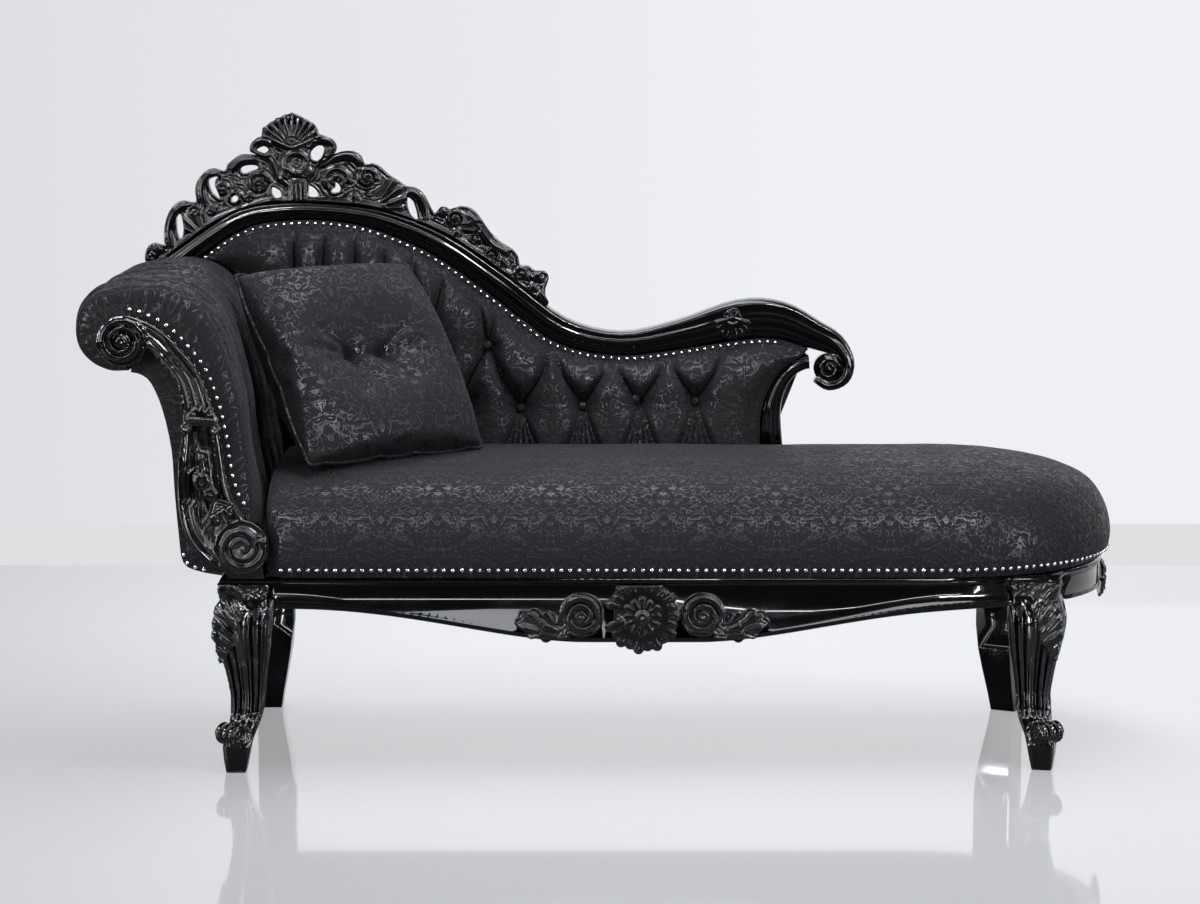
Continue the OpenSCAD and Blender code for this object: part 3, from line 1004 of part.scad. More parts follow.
pillow_buttons();
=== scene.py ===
# A chaise longue in black lacquer and black figured damask, on a pale studio floor
import math

import bmesh
import bpy
import numpy as np
from mathutils import Matrix, Vector, noise
from mathutils.kdtree import KDTree


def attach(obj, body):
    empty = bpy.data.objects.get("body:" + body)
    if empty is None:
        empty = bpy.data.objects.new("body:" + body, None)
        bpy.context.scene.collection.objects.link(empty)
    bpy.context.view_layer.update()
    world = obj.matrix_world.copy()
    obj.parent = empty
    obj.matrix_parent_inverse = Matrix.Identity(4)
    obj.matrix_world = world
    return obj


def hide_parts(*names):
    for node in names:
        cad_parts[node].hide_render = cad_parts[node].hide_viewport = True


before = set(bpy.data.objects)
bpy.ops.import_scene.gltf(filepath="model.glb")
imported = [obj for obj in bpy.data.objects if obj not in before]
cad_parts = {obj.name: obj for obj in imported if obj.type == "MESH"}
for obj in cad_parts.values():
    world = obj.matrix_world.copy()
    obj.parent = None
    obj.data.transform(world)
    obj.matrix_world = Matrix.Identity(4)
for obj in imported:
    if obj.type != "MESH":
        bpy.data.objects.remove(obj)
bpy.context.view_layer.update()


# Room: a white studio with a plain skirting board, a polished pale floor and soft lamps.
# The camera stands in front of the chaise's middle, 1.33 m above the floor, and looks down a little.
def colour(code):
    """An sRGB hex colour as the linear values that a shader takes."""
    parts = [int(code[i:i + 2], 16) / 255 for i in (1, 3, 5)]
    return [c / 12.92 if c <= 0.04045 else ((c + 0.055) / 1.055) ** 2.4 for c in parts] + [1.0]


def node(owner, kind, links, **settings):
    """Adds a shader node. In links, a socket gets another node's output or a value of its own."""
    added = owner.node_tree.nodes.new("ShaderNode" + kind)
    for key, value in settings.items():
        setattr(added, key, value)
    for socket, source in links.items():
        if isinstance(source, bpy.types.NodeSocket):
            owner.node_tree.links.new(source, added.inputs[socket])
        else:
            added.inputs[socket].default_value = source
    return added


def new_material(name):
    material = bpy.data.materials.new(name)
    material.use_nodes = True
    material.node_tree.nodes.clear()
    return material


def seen_by(owner, kind):
    """1 for the camera's rays and one more kind of ray, which see a flat tone in place of a lit surface."""
    rays = node(owner, "LightPath", {})
    return node(owner, "Math", {0: rays.outputs["Is Camera Ray"], 1: rays.outputs[kind]}, operation="MAXIMUM")


def new_piece(name, shape):
    """A bmesh made into an object of that name."""
    mesh = bpy.data.meshes.new(name)
    shape.to_mesh(mesh)
    shape.free()
    piece = bpy.data.objects.new(name, mesh)
    bpy.context.scene.collection.objects.link(piece)
    return piece


camera = bpy.data.objects.new("camera", bpy.data.cameras.new("camera"))
camera.location = (-0.012, -6.205, 1.330)
camera.rotation_euler = (math.radians(90 - 7.517), 0, 0)
camera.data.lens = 106.8
camera.data.sensor_width = 36
bpy.context.scene.collection.objects.link(camera)
bpy.context.scene.camera = camera
bpy.context.scene.view_settings.view_transform = "Standard"

world = bpy.data.worlds.new("studio")
world.use_nodes = True
world.node_tree.nodes.clear()
seen = seen_by(world, "Is Transmission Ray")
room_light = node(world, "Background", {"Color": colour("#b9bcc2"), "Strength": 0.11})
white = node(world, "Background", {"Color": colour("#eaebed"), "Strength": 1.0})
both = node(world, "MixShader", {0: seen.outputs[0], 1: room_light.outputs[0], 2: white.outputs[0]})
node(world, "OutputWorld", {0: both.outputs[0]})
bpy.context.scene.world = world

wall_paint = new_material("matt white wall paint")
seen = seen_by(wall_paint, "Is Glossy Ray")
place = node(wall_paint, "TexCoord", {})
across = node(wall_paint, "SeparateXYZ", {0: place.outputs["Object"]})
shade = node(wall_paint, "MapRange", {0: across.outputs[0], 1: -1.6, 2: 0.4, 3: 0.0, 4: 1.0})
tone = node(wall_paint, "MixRGB", {0: shade.outputs[0], 1: colour("#dcdde0"), 2: colour("#eff0f3")})
glow = node(wall_paint, "Emission", {0: tone.outputs[0], 1: 1.0})
plaster = node(wall_paint, "BsdfDiffuse", {0: colour("#e8e8e8")})
mixed = node(wall_paint, "MixShader", {0: seen.outputs[0], 1: plaster.outputs[0], 2: glow.outputs[0]})
# The wall has one side only, so that the object can be looked at from behind
side = node(wall_paint, "NewGeometry", {})
clear = node(wall_paint, "BsdfTransparent", {})
mixed = node(wall_paint, "MixShader", {0: side.outputs["Backfacing"], 1: mixed.outputs[0],
                                       2: clear.outputs[0]})
node(wall_paint, "OutputMaterial", {0: mixed.outputs[0]})

WALL_Y = 1.9
ROOM_WIDTH = 16
shape = bmesh.new()
bmesh.ops.create_grid(shape, x_segments=1, y_segments=1, size=0.5,
                      matrix=Matrix.Translation((0, WALL_Y, 2.5)) @ Matrix.Rotation(math.pi / 2, 4, "X")
                      @ Matrix.Diagonal((ROOM_WIDTH, 5, 1, 1)))
wall = new_piece("wall", shape)
wall.data.materials.append(wall_paint)

skirting_paint = new_material("white skirting paint")
seen = seen_by(skirting_paint, "Is Glossy Ray")
tone = node(skirting_paint, "BsdfDiffuse", {0: colour("#dcdddf")})
glow = node(skirting_paint, "Emission", {0: colour("#dfe0e1"), 1: 1.0})
mixed = node(skirting_paint, "MixShader", {0: seen.outputs[0], 1: tone.outputs[0], 2: glow.outputs[0]})
node(skirting_paint, "OutputMaterial", {0: mixed.outputs[0]})
shape = bmesh.new()
for height, depth in ((0.070, 0.016), (0.078, 0.012), (0.093, 0.008)):
    bmesh.ops.create_cube(shape, size=1, matrix=Matrix.Translation((0, WALL_Y - depth / 2, height / 2))
                          @ Matrix.Diagonal((ROOM_WIDTH, depth, height, 1)))
skirting = new_piece("skirting", shape)
skirting.data.materials.append(skirting_paint)

floor_gloss = new_material("polished white floor")
place = node(floor_gloss, "TexCoord", {})
cloud = node(floor_gloss, "TexNoise", {"Vector": place.outputs["Object"], "Scale": 0.7, "Detail": 1.0})
tone = node(floor_gloss, "MixRGB", {0: cloud.outputs[0], 1: colour("#b0b2b5"), 2: colour("#b8b9bc")})
surface = node(floor_gloss, "BsdfPrincipled", {"Base Color": tone.outputs[0], "Roughness": 0.05,
                                               "Specular IOR Level": 0.5})
# The camera alone sees the floor lifted towards white, less so at the left
paths = node(floor_gloss, "LightPath", {})
across = node(floor_gloss, "SeparateXYZ", {0: place.outputs["Object"]})
shade = node(floor_gloss, "MapRange", {0: across.outputs[0], 1: -1.7, 2: -0.2, 3: 0.22, 4: 0.42},
             interpolation_type="SMOOTHSTEP")
lift = node(floor_gloss, "Math", {0: paths.outputs["Is Camera Ray"], 1: shade.outputs[0]},
            operation="MULTIPLY")
glow = node(floor_gloss, "Emission", {0: colour("#e9eaec"), 1: lift.outputs[0]})
mixed = node(floor_gloss, "AddShader", {0: surface.outputs[0], 1: glow.outputs[0]})
node(floor_gloss, "OutputMaterial", {0: mixed.outputs[0]})
shape = bmesh.new()
bmesh.ops.create_grid(shape, x_segments=1, y_segments=1, size=0.5,
                      matrix=Matrix.Translation((0, -2.6, 0)) @ Matrix.Diagonal((ROOM_WIDTH, 9, 1, 1)))
floor = new_piece("floor", shape)
floor.data.materials.append(floor_gloss)


def lamp(name, place, aim, width, height, watts, only_gloss=False):
    """A softbox that faces aim. With only_gloss it shows in glossy surfaces, but lights nothing else."""
    light = bpy.data.lights.new(name, "AREA")
    light.shape = "RECTANGLE"
    light.size, light.size_y, light.energy = width, height, watts
    light.color = (0.92, 0.95, 1.0)
    box = bpy.data.objects.new(name, light)
    box.location = place
    box.rotation_euler = (Vector(aim) - Vector(place)).to_track_quat("-Z", "Y").to_euler()
    box.visible_diffuse = not only_gloss
    bpy.context.scene.collection.objects.link(box)


lamp("overhead softbox", (0.1, 0.1, 3.1), (0, 0.05, 0.3), 3.6, 1.2, 76)
lamp("left strip", (-3.1, -1.9, 1.7), (-0.4, 0, 0.5), 0.5, 2.2, 9)
lamp("right strip", (3.2, -1.6, 1.6), (0.4, 0, 0.5), 0.5, 2.2, 9)
# Narrow lamps for gloss alone, which draw the bright lines on the lacquer
lamp("front tube", (0.3, -4.6, 3.4), (0, 0, 0.6), 3.4, 0.12, 36, True)
lamp("left tube", (-2.6, -4.0, 1.7), (-0.2, 0, 0.5), 0.10, 2.4, 44, True)
lamp("right tube", (2.6, -3.8, 1.7), (0.2, 0, 0.5), 0.10, 2.4, 44, True)
lamp("upper left gleam", (-1.7, -2.6, 3.0), (-0.3, 0, 0.6), 1.6, 0.10, 95, True)
lamp("upper right gleam", (1.5, -2.6, 2.8), (0.3, 0, 0.5), 1.6, 0.10, 95, True)
lamp("left gleam", (-3.0, -2.6, 0.9), (-0.3, 0, 0.5), 0.10, 1.4, 60, True)
lamp("right gleam", (3.2, -2.2, 0.8), (0.3, 0, 0.4), 0.25, 1.2, 55, True)


# Hidden frame: beech rails, blocks and posts glued and bolted together, with jute webs and hessian over
# them. They keep their solids and get plain joiner's finishes.
beech = new_material("planed beech")
place = node(beech, "TexCoord", {})
# Rays of the grain about 3 mm apart, drawn out along the seat
stretched = node(beech, "Mapping", {"Vector": place.outputs["Object"], "Scale": (12.0, 300.0, 300.0)})
grain = node(beech, "TexNoise", {"Vector": stretched.outputs[0], "Scale": 1.0, "Detail": 4.0,
                                 "Distortion": 0.6})
tone = node(beech, "MixRGB", {0: grain.outputs[0], 1: colour("#b98d62"), 2: colour("#d8b48a")})
raised = node(beech, "Bump", {"Height": grain.outputs[0], "Strength": 0.2, "Distance": 0.0004})
surface = node(beech, "BsdfPrincipled", {"Base Color": tone.outputs[0], "Roughness": 0.55,
                                         "Normal": raised.outputs[0]})
node(beech, "OutputMaterial", {0: surface.outputs[0]})

jute = new_material("woven jute")
place = node(jute, "TexCoord", {})
# Threads 5 mm apart both ways, drawn coarser than real ones so that they show
warp = node(jute, "TexWave", {"Vector": place.outputs["Object"], "Scale": 64.0, "Distortion": 0.4},
            bands_direction="X")
weft = node(jute, "TexWave", {"Vector": place.outputs["Object"], "Scale": 64.0, "Distortion": 0.4},
            bands_direction="Y")
threads = node(jute, "Math", {0: warp.outputs[1], 1: weft.outputs[1]}, operation="MULTIPLY")
tone = node(jute, "MixRGB", {0: threads.outputs[0], 1: colour("#7c6441"), 2: colour("#b79a6c")})
raised = node(jute, "Bump", {"Height": threads.outputs[0], "Strength": 0.6, "Distance": 0.0006})
surface = node(jute, "BsdfPrincipled", {"Base Color": tone.outputs[0], "Roughness": 0.85,
                                        "Normal": raised.outputs[0]})
node(jute, "OutputMaterial", {0: surface.outputs[0]})

zinc = new_material("zinc plated steel")
place = node(zinc, "TexCoord", {})
spangle = node(zinc, "TexNoise", {"Vector": place.outputs["Object"], "Scale": 260.0, "Detail": 2.0})
rough = node(zinc, "MapRange", {0: spangle.outputs[0], 3: 0.25, 4: 0.45})
surface = node(zinc, "BsdfPrincipled", {"Base Color": colour("#b9bcc0"), "Metallic": 1.0,
                                        "Roughness": rough.outputs[0]})
node(zinc, "OutputMaterial", {0: surface.outputs[0]})

# The grain of the stained posts and rails is drawn out upwards
black_stain = new_material("black stained beech")
place = node(black_stain, "TexCoord", {})
stretched = node(black_stain, "Mapping", {"Vector": place.outputs["Object"], "Scale": (300.0, 300.0, 12.0)})
grain = node(black_stain, "TexNoise", {"Vector": stretched.outputs[0], "Scale": 1.0, "Detail": 4.0})
tone = node(black_stain, "MixRGB", {0: grain.outputs[0], 1: colour("#0b0b0c"), 2: colour("#171718")})
surface = node(black_stain, "BsdfPrincipled", {"Base Color": tone.outputs[0], "Roughness": 0.5})
node(black_stain, "OutputMaterial", {0: surface.outputs[0]})


def finish_nodes(material, *names):
    """The CAD nodes keep their shapes and take this finish."""
    for name in names:
        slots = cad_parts[name].data.materials
        slots.clear()
        slots.append(material)


finish_nodes(beech, "corner_blocks", "cross_braces", "arm_bottom_rail", "arm_stuffing_rail",
             "back_middle_post")
# The rails and posts whose outer faces show between the covers are stained black
finish_nodes(black_stain, "back_seat_rail", "head_seat_rail", "arm_front_post", "arm_back_post",
             "arm_top_rail", "back_head_post", "back_bottom_rail")
finish_nodes(jute, "webbing_across", "webbing_along", "seat_hessian")
finish_nodes(zinc, "leg_bolts")


# Rails and moulding of the seat, crest rail, stile and back legs: hardwood run and shaped to a moulded
# section, then lacquered gloss black. The mouldings stay crisp, the curved lengths smooth.
lacquer = new_material("gloss black lacquer")
place = node(lacquer, "TexCoord", {})
# The sprayed coat has a faint orange peel about 2 mm across, and a hand-rubbed variation in its gloss
peel = node(lacquer, "TexNoise", {"Vector": place.outputs["Object"], "Scale": 480.0, "Detail": 1.0})
rub = node(lacquer, "TexNoise", {"Vector": place.outputs["Object"], "Scale": 22.0, "Detail": 3.0})
rough = node(lacquer, "MapRange", {0: rub.outputs[0], 1: 0.3, 2: 0.7, 3: 0.10, 4: 0.20})
# Painted highlight: the coat is coloured a shade lighter on its sharp ridges, where the mesh's pointiness is
# high
edge = node(lacquer, "NewGeometry", {})
wear_and_painted_highlight = node(lacquer, "MapRange", {0: edge.outputs["Pointiness"], 1: 0.54, 2: 0.64, 3: 0.0, 4: 1.0})
tone = node(lacquer, "MixRGB", {0: wear_and_painted_highlight.outputs[0], 1: colour("#040405"), 2: colour("#121214")})
raised = node(lacquer, "Bump", {"Height": peel.outputs[0], "Strength": 0.10, "Distance": 0.0003})
surface = node(lacquer, "BsdfPrincipled", {"Base Color": tone.outputs[0], "Roughness": rough.outputs[0],
                                           "Specular IOR Level": 0.10, "Coat Weight": 1.0,
                                           "Coat Roughness": 0.03, "Normal": raised.outputs[0]})
node(lacquer, "OutputMaterial", {0: surface.outputs[0]})


def joined_up(*nodes, dist=0.00002):
    """The mesh of CAD nodes as a bmesh, with its loose triangles joined up."""
    shape = bmesh.new()
    for n in nodes:
        shape.from_mesh(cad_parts[n].data)
    bmesh.ops.remove_doubles(shape, verts=shape.verts, dist=dist)
    return shape


def copy_of(name, *nodes, body="chaise"):
    """A piece with the mesh of CAD nodes, which stands for them."""
    piece = new_piece(name, joined_up(*nodes))
    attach(piece, body)
    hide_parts(*nodes)
    return piece


def dress(piece, material, sharp=180):
    """Finish, and smooth shading up to the given angle between faces."""
    piece.data.materials.clear()
    piece.data.materials.append(material)
    piece.data.polygons.foreach_set("use_smooth", [True] * len(piece.data.polygons))
    if sharp < 180:
        piece.data.set_sharp_from_angle(angle=math.radians(sharp))
    return piece


for name, made_from, sharp in (
        ("front_rail", ["front_seat_rail"], 25),
        ("bow_rail", ["foot_seat_rail"], 25),
        ("seat_moulding", ["seat_frame_moulding"], 30),
        ("top_rail", ["crest_rail"], 38),
        ("end_stile", ["back_foot_stile"], 38),
        ("back_legs", ["back_head_leg", "back_foot_leg"], 40)):
    dress(copy_of(name, *made_from), lacquer, sharp)


# Carving: shell, scrolls, leaves and the openwork crest are cut with gouges, so every edge is rounded over
# and the forms swell. They are lacquered with the rails.
def settle(piece):
    """Applies the piece's modifiers."""
    bpy.context.view_layer.update()
    made = bpy.data.meshes.new_from_object(piece.evaluated_get(bpy.context.evaluated_depsgraph_get()))
    piece.modifiers.clear()
    piece.data = made


def rounded(piece, cell, passes, swell=0.0):
    """Wears a sawn shape smooth, after swelling it by what that takes off."""
    remesh = piece.modifiers.new("fine", "REMESH")
    remesh.mode, remesh.voxel_size, remesh.adaptivity = "VOXEL", cell, 0
    if swell:
        grow = piece.modifiers.new("swell", "DISPLACE")
        grow.strength, grow.mid_level = swell, 0
    wear_and_painted_highlight = piece.modifiers.new("wear_and_painted_highlight", "SMOOTH")
    wear_and_painted_highlight.factor, wear_and_painted_highlight.iterations = 0.5, passes
    settle(piece)
    return piece


def positions(mesh):
    found = np.empty(len(mesh.vertices) * 3)
    mesh.vertices.foreach_get("co", found)
    return found.reshape(-1, 3)


def normals(mesh):
    found = np.empty(len(mesh.vertices) * 3)
    mesh.vertex_normals.foreach_get("vector", found)
    return found.reshape(-1, 3)


def move_to(mesh, where):
    mesh.vertices.foreach_set("co", np.asarray(where, float).ravel())
    mesh.update()


def nearest(where, line):
    """Distance from each place to the nearest point of a line of points."""
    tree = KDTree(len(line))
    for k, p in enumerate(line):
        tree.insert(p, k)
    tree.balance()
    return np.array([tree.find(p)[2] for p in where])


def cut_lines(*nodes, angle=35):
    """Points 1.5 mm apart along the crisp edges of CAD nodes."""
    points = []
    for n in nodes:
        shape = joined_up(n)
        for e in shape.edges:
            if len(e.link_faces) == 2 and e.calc_face_angle(0) > math.radians(angle):
                count = max(1, round(e.calc_length() / 0.0015))
                points += [e.verts[0].co.lerp(e.verts[1].co, k / count) for k in range(count)]
        shape.free()
    return points


def gouge(piece, lines, pitch, depth, front=(0, -1, 0)):
    """Round ridges with sharp valleys between them, which follow every crisp edge on the side that shows."""
    where, out = positions(piece.data), normals(piece.data)
    away = nearest(where, lines)
    cut = depth * (1 - np.abs(np.sin(np.pi * away / pitch))) * np.clip(2 * away / pitch - 1, 0, 1)
    shown = np.clip(2 * out @ np.array(front) - 0.4, 0, 1)
    move_to(piece.data, where - out * (cut * shown)[:, None])
    return piece


for name, made_from, cell, passes, swell, pitch, depth in (
        ("crest_left", ["crest_carving_left"], 0.0014, 3, 0.0004, 0.0060, 0.0042),
        ("crest_right", ["crest_carving_right"], 0.0015, 3, 0.0004, 0.0060, 0.0042),
        ("crest_middle", ["crest_shell"], 0.0013, 3, 0.0004, 0.0058, 0.0036),
        ("apron_middle", ["apron_shell"], 0.0012, 3, 0.0003, 0.0062, 0.0030),
        ("apron_scrolls", ["apron_scroll_left", "apron_scroll_right"], 0.0012, 3, 0.0003, 0.0056, 0.0030),
        ("bow_drop", ["foot_end_cartouche"], 0.0011, 3, 0.0003, 0.0056, 0.0024),
        ("arm_band", ["arm_facing_band"], 0.0012, 14, 0.0016, 0.0060, 0.0030),
        ("arm_rosettes", ["arm_facing_leaf"], 0.0010, 4, 0.0005, 0.0048, 0.0016),
        ("top_rail_leaf", ["rail_leaf"], 0.0010, 4, 0.0004, 0.0052, 0.0016)):
    carved = rounded(copy_of(name, *made_from), cell, passes, swell)
    if name == "crest_middle":
        # eleven ribs fan out over the shell, and fade towards its hinge
        where, out = positions(carved.data), normals(carved.data)
        hinge = where[where[:, 2].argmax()] - (0, 0, 0.064)
        reach = np.hypot(where[:, 0] - hinge[0], where[:, 2] - hinge[2])
        bearing = np.degrees(np.arctan2(where[:, 0] - hinge[0], where[:, 2] - hinge[2]))
        rib = np.abs(np.cos(np.pi * bearing / 13.2)) - 0.5
        fans = np.clip((reach - 0.010) / 0.030, 0, 1) * (np.abs(bearing) < 70)
        shown = np.clip(-2 * out[:, 1] - 0.4, 0, 1)
        move_to(carved.data, where + out * (0.0060 * rib * (fans * shown))[:, None])
    front = (1, 0, 0) if name == "bow_drop" else (0, -1, 0)
    dress(gouge(carved, cut_lines(*made_from), pitch, depth, front), lacquer)


# Arm facing: one board of hardwood carved as an S, with reeds that follow its outline from the volute down
# to the lower scroll. It is glued and screwed to the front posts of the arm, over the edge of the cloth.
facing = rounded(copy_of("arm_front", "arm_facing"), 0.0019, 3)
dress(gouge(facing, cut_lines("arm_facing", angle=50), 0.0086, 0.0048), lacquer)


# Front legs: cabriole legs sawn from one square block each, with three flutes down every face, an acanthus
# leaf over the knee and a scroll at the toe. The leg's outer corner points out of the seat.
LEG_AXES = (-0.610, -0.252, math.radians(180)), (0.728, -0.228, math.radians(-104))
leg_top = 0.325
# Height, step of the leg's middle to its outer corner, half of its thickness, in millimetres
LEG_LINE = np.array([
    (0, 20, 20.5), (46, 18, 24), (62, 11, 22.5), (84, 5, 26), (107, 1, 28.5), (130, 0, 29), (178, 2, 35.5),
    (207, 4, 41.5), (237, 6, 45.8), (257, 6, 47), (277, 3.5, 45.2), (297, 1, 40.5), (313, 0, 43),
    (325, 0, 43)]) / 1000
leaf_long = 0.135
leaf_spread = 54          # degrees to each side of the outer corner
toe_out, toe_up = 0.0368, 0.064
foot_top = 0.046
legs = rounded(copy_of("front_legs", "front_head_leg", "front_foot_leg"), 0.0018, 3)
where, out = positions(legs.data), normals(legs.data)
moved = np.zeros(len(where))
taper = np.zeros((len(where), 3))
for x, y, turn in LEG_AXES:
    mine = np.hypot(where[:, 0] - x, where[:, 1] - y) < 0.12
    back_turn = np.array([[math.cos(turn), math.sin(turn)], [-math.sin(turn), math.cos(turn)]])
    local = (where[:, :2] - (x, y)) @ back_turn.T
    aim = out[:, :2] @ back_turn.T
    z = where[:, 2]
    centre, half = (np.interp(z, LEG_LINE[:, 0], LEG_LINE[:, k]) for k in (1, 2))
    u = np.where(np.abs(aim[:, 0]) > np.abs(aim[:, 1]), local[:, 1], local[:, 0])
    u = (u - centre) / half
    flute = sum(np.clip(np.cos(np.pi * (u - k) / 0.50), 0, 1) for k in (-0.52, 0, 0.52))
    # the flutes run out above the toe, under the block and on level faces
    flute *= np.clip((z - 0.088) / 0.012, 0, 1) * np.clip((0.285 - z) / 0.02, 0, 1)
    flute *= np.abs(out[:, 2]) < 0.7
    bearing = np.degrees(np.arctan2(local[:, 1] - centre, local[:, 0] - centre)) - 45
    bearing = np.abs((bearing + 180) % 360 - 180)
    t = np.maximum(0, leg_top - z) / leaf_long
    width = leaf_spread * np.clip(1 - t ** 1.6, 0, 1) ** 0.6
    width *= 0.78 + 0.22 * np.abs(np.sin(np.pi * t * 4.5))
    inside = np.clip((width - bearing) / 4, 0, 1) * (t < 1)
    # lobes sweep out and down from the midrib, each with a rounded back and finer veins
    lobe = np.abs(np.sin(np.pi * (t * 5.5 - bearing / 46 * 1.6)))
    vein = np.abs(np.sin(np.pi * (t * 16.5 - bearing / 46 * 8)))
    leaf = 0.0036 * lobe + 0.0022 * vein + 0.0026 * np.exp(-(bearing / 5) ** 2) - 0.0042
    # small curls round the block on top
    block = np.clip((z - 0.298) / 0.006, 0, 1) * np.clip((0.322 - z) / 0.004, 0, 1)
    curl = np.abs(np.sin(np.pi * (u * 3.2 + 0.35 * np.sin(z * 420))))
    rise = -0.0048 * flute * (1 - inside) + leaf * inside + 0.0040 * (curl - 0.8) * block * (1 - inside)
    # a spiral channel on both ends of the toe's scroll, and rings on its barrel
    barrel = np.stack([(local[:, 0] + local[:, 1]) / math.sqrt(2) - toe_out, z - toe_up], -1)
    reach, wound = np.hypot(barrel[:, 0], barrel[:, 1]), np.arctan2(barrel[:, 1], barrel[:, 0])
    endwise = np.abs(aim[:, 0] - aim[:, 1]) / math.sqrt(2)
    spiral = np.abs(np.sin(np.pi * reach / 0.0078 + wound / 2))
    on_end = (reach < 0.022) * np.clip(2 * endwise - 1, 0, 1)
    across = np.abs(local[:, 0] - local[:, 1]) / math.sqrt(2)
    ringed = (reach > 0.015) * (reach < 0.025) * (endwise < 0.5) * (barrel[:, 0] > 0)
    rise = np.where(on_end > 0, -0.0034 * (1 - spiral) * on_end, rise)
    rise = np.where(ringed, -0.0022 * np.clip(np.cos(np.pi * across / 0.008), 0, 1), rise)
    moved[mine] = rise[mine]
    # the foot's block narrows by a sixth down to the floor
    narrow = -0.17 * np.clip(1 - z / foot_top, 0, 1)[:, None] * (local - 0.019)
    taper[mine, :2] = (narrow @ back_turn)[mine]
move_to(legs.data, where + out * moved[:, None] + taper)
dress(legs, lacquer)


# Upholstery cloth: a black damask, satin scrolls and leaves on a duller ribbed ground. The scrolls are of a
# lighter thread. The leaves' yarn is darker but smooth, so it shines where it faces the light.
damask = new_material("black damask, woven")
cloth = node(damask, "UVMap", {}, uv_map="cloth")
axes = node(damask, "SeparateXYZ", {0: cloth.outputs[0]})
# The figure is mirrored every 95 mm across and repeats every 240 mm along
mirror = node(damask, "Math", {0: axes.outputs[0], 1: 0.095}, operation="PINGPONG")
turn = node(damask, "Math", {0: axes.outputs[1], 1: 2 * math.pi / 0.24}, operation="MULTIPLY")
ring_x = node(damask, "Math", {0: turn.outputs[0]}, operation="COSINE")
ring_y = node(damask, "Math", {0: turn.outputs[0]}, operation="SINE")
ring_x = node(damask, "Math", {0: ring_x.outputs[0], 1: 0.0382}, operation="MULTIPLY")
ring_y = node(damask, "Math", {0: ring_y.outputs[0], 1: 0.0382}, operation="MULTIPLY")
motif = node(damask, "CombineXYZ", {0: mirror.outputs[0], 1: ring_x.outputs[0], 2: ring_y.outputs[0]})
# Scrolls: lines of equal height of a slow noise, about 1.3 mm wide and some 8 mm apart
curls = node(damask, "TexNoise", {"Vector": motif.outputs[0], "Scale": 36.0, "Detail": 1.0,
                                  "Distortion": 1.4})
rise = node(damask, "Math", {0: curls.outputs[0], 1: 0.12}, operation="PINGPONG")
line = node(damask, "MapRange", {0: rise.outputs[0], 1: 0.012, 2: 0.024, 3: 1.0, 4: 0.0})
# Leaves: filled where a second noise is high
leaves = node(damask, "TexNoise", {"Vector": motif.outputs[0], "Scale": 62.0, "Detail": 0.5,
                                   "Distortion": 2.4})
leaf = node(damask, "MapRange", {0: leaves.outputs[0], 1: 0.60, 2: 0.63, 3: 0.0, 4: 0.8})
# The scrolls are fainter where a third, broad noise is low
broad = node(damask, "TexNoise", {"Vector": motif.outputs[0], "Scale": 15.0, "Detail": 0.0})
clump = node(damask, "MapRange", {0: broad.outputs[0], 1: 0.38, 2: 0.48, 3: 0.45, 4: 1.0})
line = node(damask, "Math", {0: line.outputs[0], 1: clump.outputs[0]}, operation="MULTIPLY")
figure = node(damask, "Math", {0: line.outputs[0], 1: leaf.outputs[0]}, operation="MAXIMUM")
# Ribs of the ground, drawn 3.2 mm apart so that they show
ribs = node(damask, "TexWave", {"Vector": cloth.outputs[0], "Scale": 98.0, "Distortion": 1.5, "Detail": 1.0,
                                "Detail Scale": 3.0}, bands_direction="Y")
nap = node(damask, "TexNoise", {"Vector": cloth.outputs[0], "Scale": 14.0, "Detail": 3.0})
ground = node(damask, "MixRGB", {0: nap.outputs[0], 1: colour("#1e1e21"), 2: colour("#29292e")})
tone = node(damask, "MixRGB", {0: leaf.outputs[0], 1: ground.outputs[0], 2: colour("#08080a")})
tone = node(damask, "MixRGB", {0: line.outputs[0], 1: tone.outputs[0], 2: colour("#404047")})
rough = node(damask, "MapRange", {0: figure.outputs[0], 3: 0.85, 4: 0.45})
satin = node(damask, "Math", {0: figure.outputs[0], 1: 0.32}, operation="MULTIPLY")
weave = node(damask, "Math", {0: ribs.outputs[1], 1: 0.35}, operation="MULTIPLY")
relief = node(damask, "Math", {0: weave.outputs[0], 1: figure.outputs[0]}, operation="ADD")
raised = node(damask, "Bump", {"Height": relief.outputs[0], "Strength": 0.55, "Distance": 0.0007})
surface = node(damask, "BsdfPrincipled", {"Base Color": tone.outputs[0], "Roughness": rough.outputs[0],
                                          "Specular IOR Level": 0.22, "Sheen Weight": 0.12,
                                          "Sheen Roughness": 0.4, "Coat Weight": satin.outputs[0],
                                          "Coat Roughness": 0.30, "Normal": raised.outputs[0]})
node(damask, "OutputMaterial", {0: surface.outputs[0]})


def lay_cloth(mesh, flat):
    """The cloth map: where each point of the mesh lies on the flat cloth, in metres."""
    corners = np.empty(len(mesh.loops), int)
    mesh.loops.foreach_get("vertex_index", corners)
    layer = mesh.uv_layers.new(name="cloth")
    layer.data.foreach_set("uv", np.asarray(flat, float)[corners].ravel())


def drawn(points, step):
    """A line of points step apart along the given corners."""
    out = []
    for a, b in zip(points, points[1:]):
        a, b = np.asarray(a, float), np.asarray(b, float)
        count = max(1, int(np.linalg.norm(b - a) / step))
        out += [a + (b - a) * k / count for k in range(count)]
    return np.array(out + [np.asarray(points[-1], float)])


# Seat pad: springs, hair and a domed top under one piece of damask, drawn down tight over the edge and
# tacked on the rail. The cloth swells over the front edge.
seat = rounded(copy_of("seat_cushion", "seat_pad"), 0.007, 26, 0.0012)
where = positions(seat.data)
out = normals(seat.data)
low = where[:, 2].min()
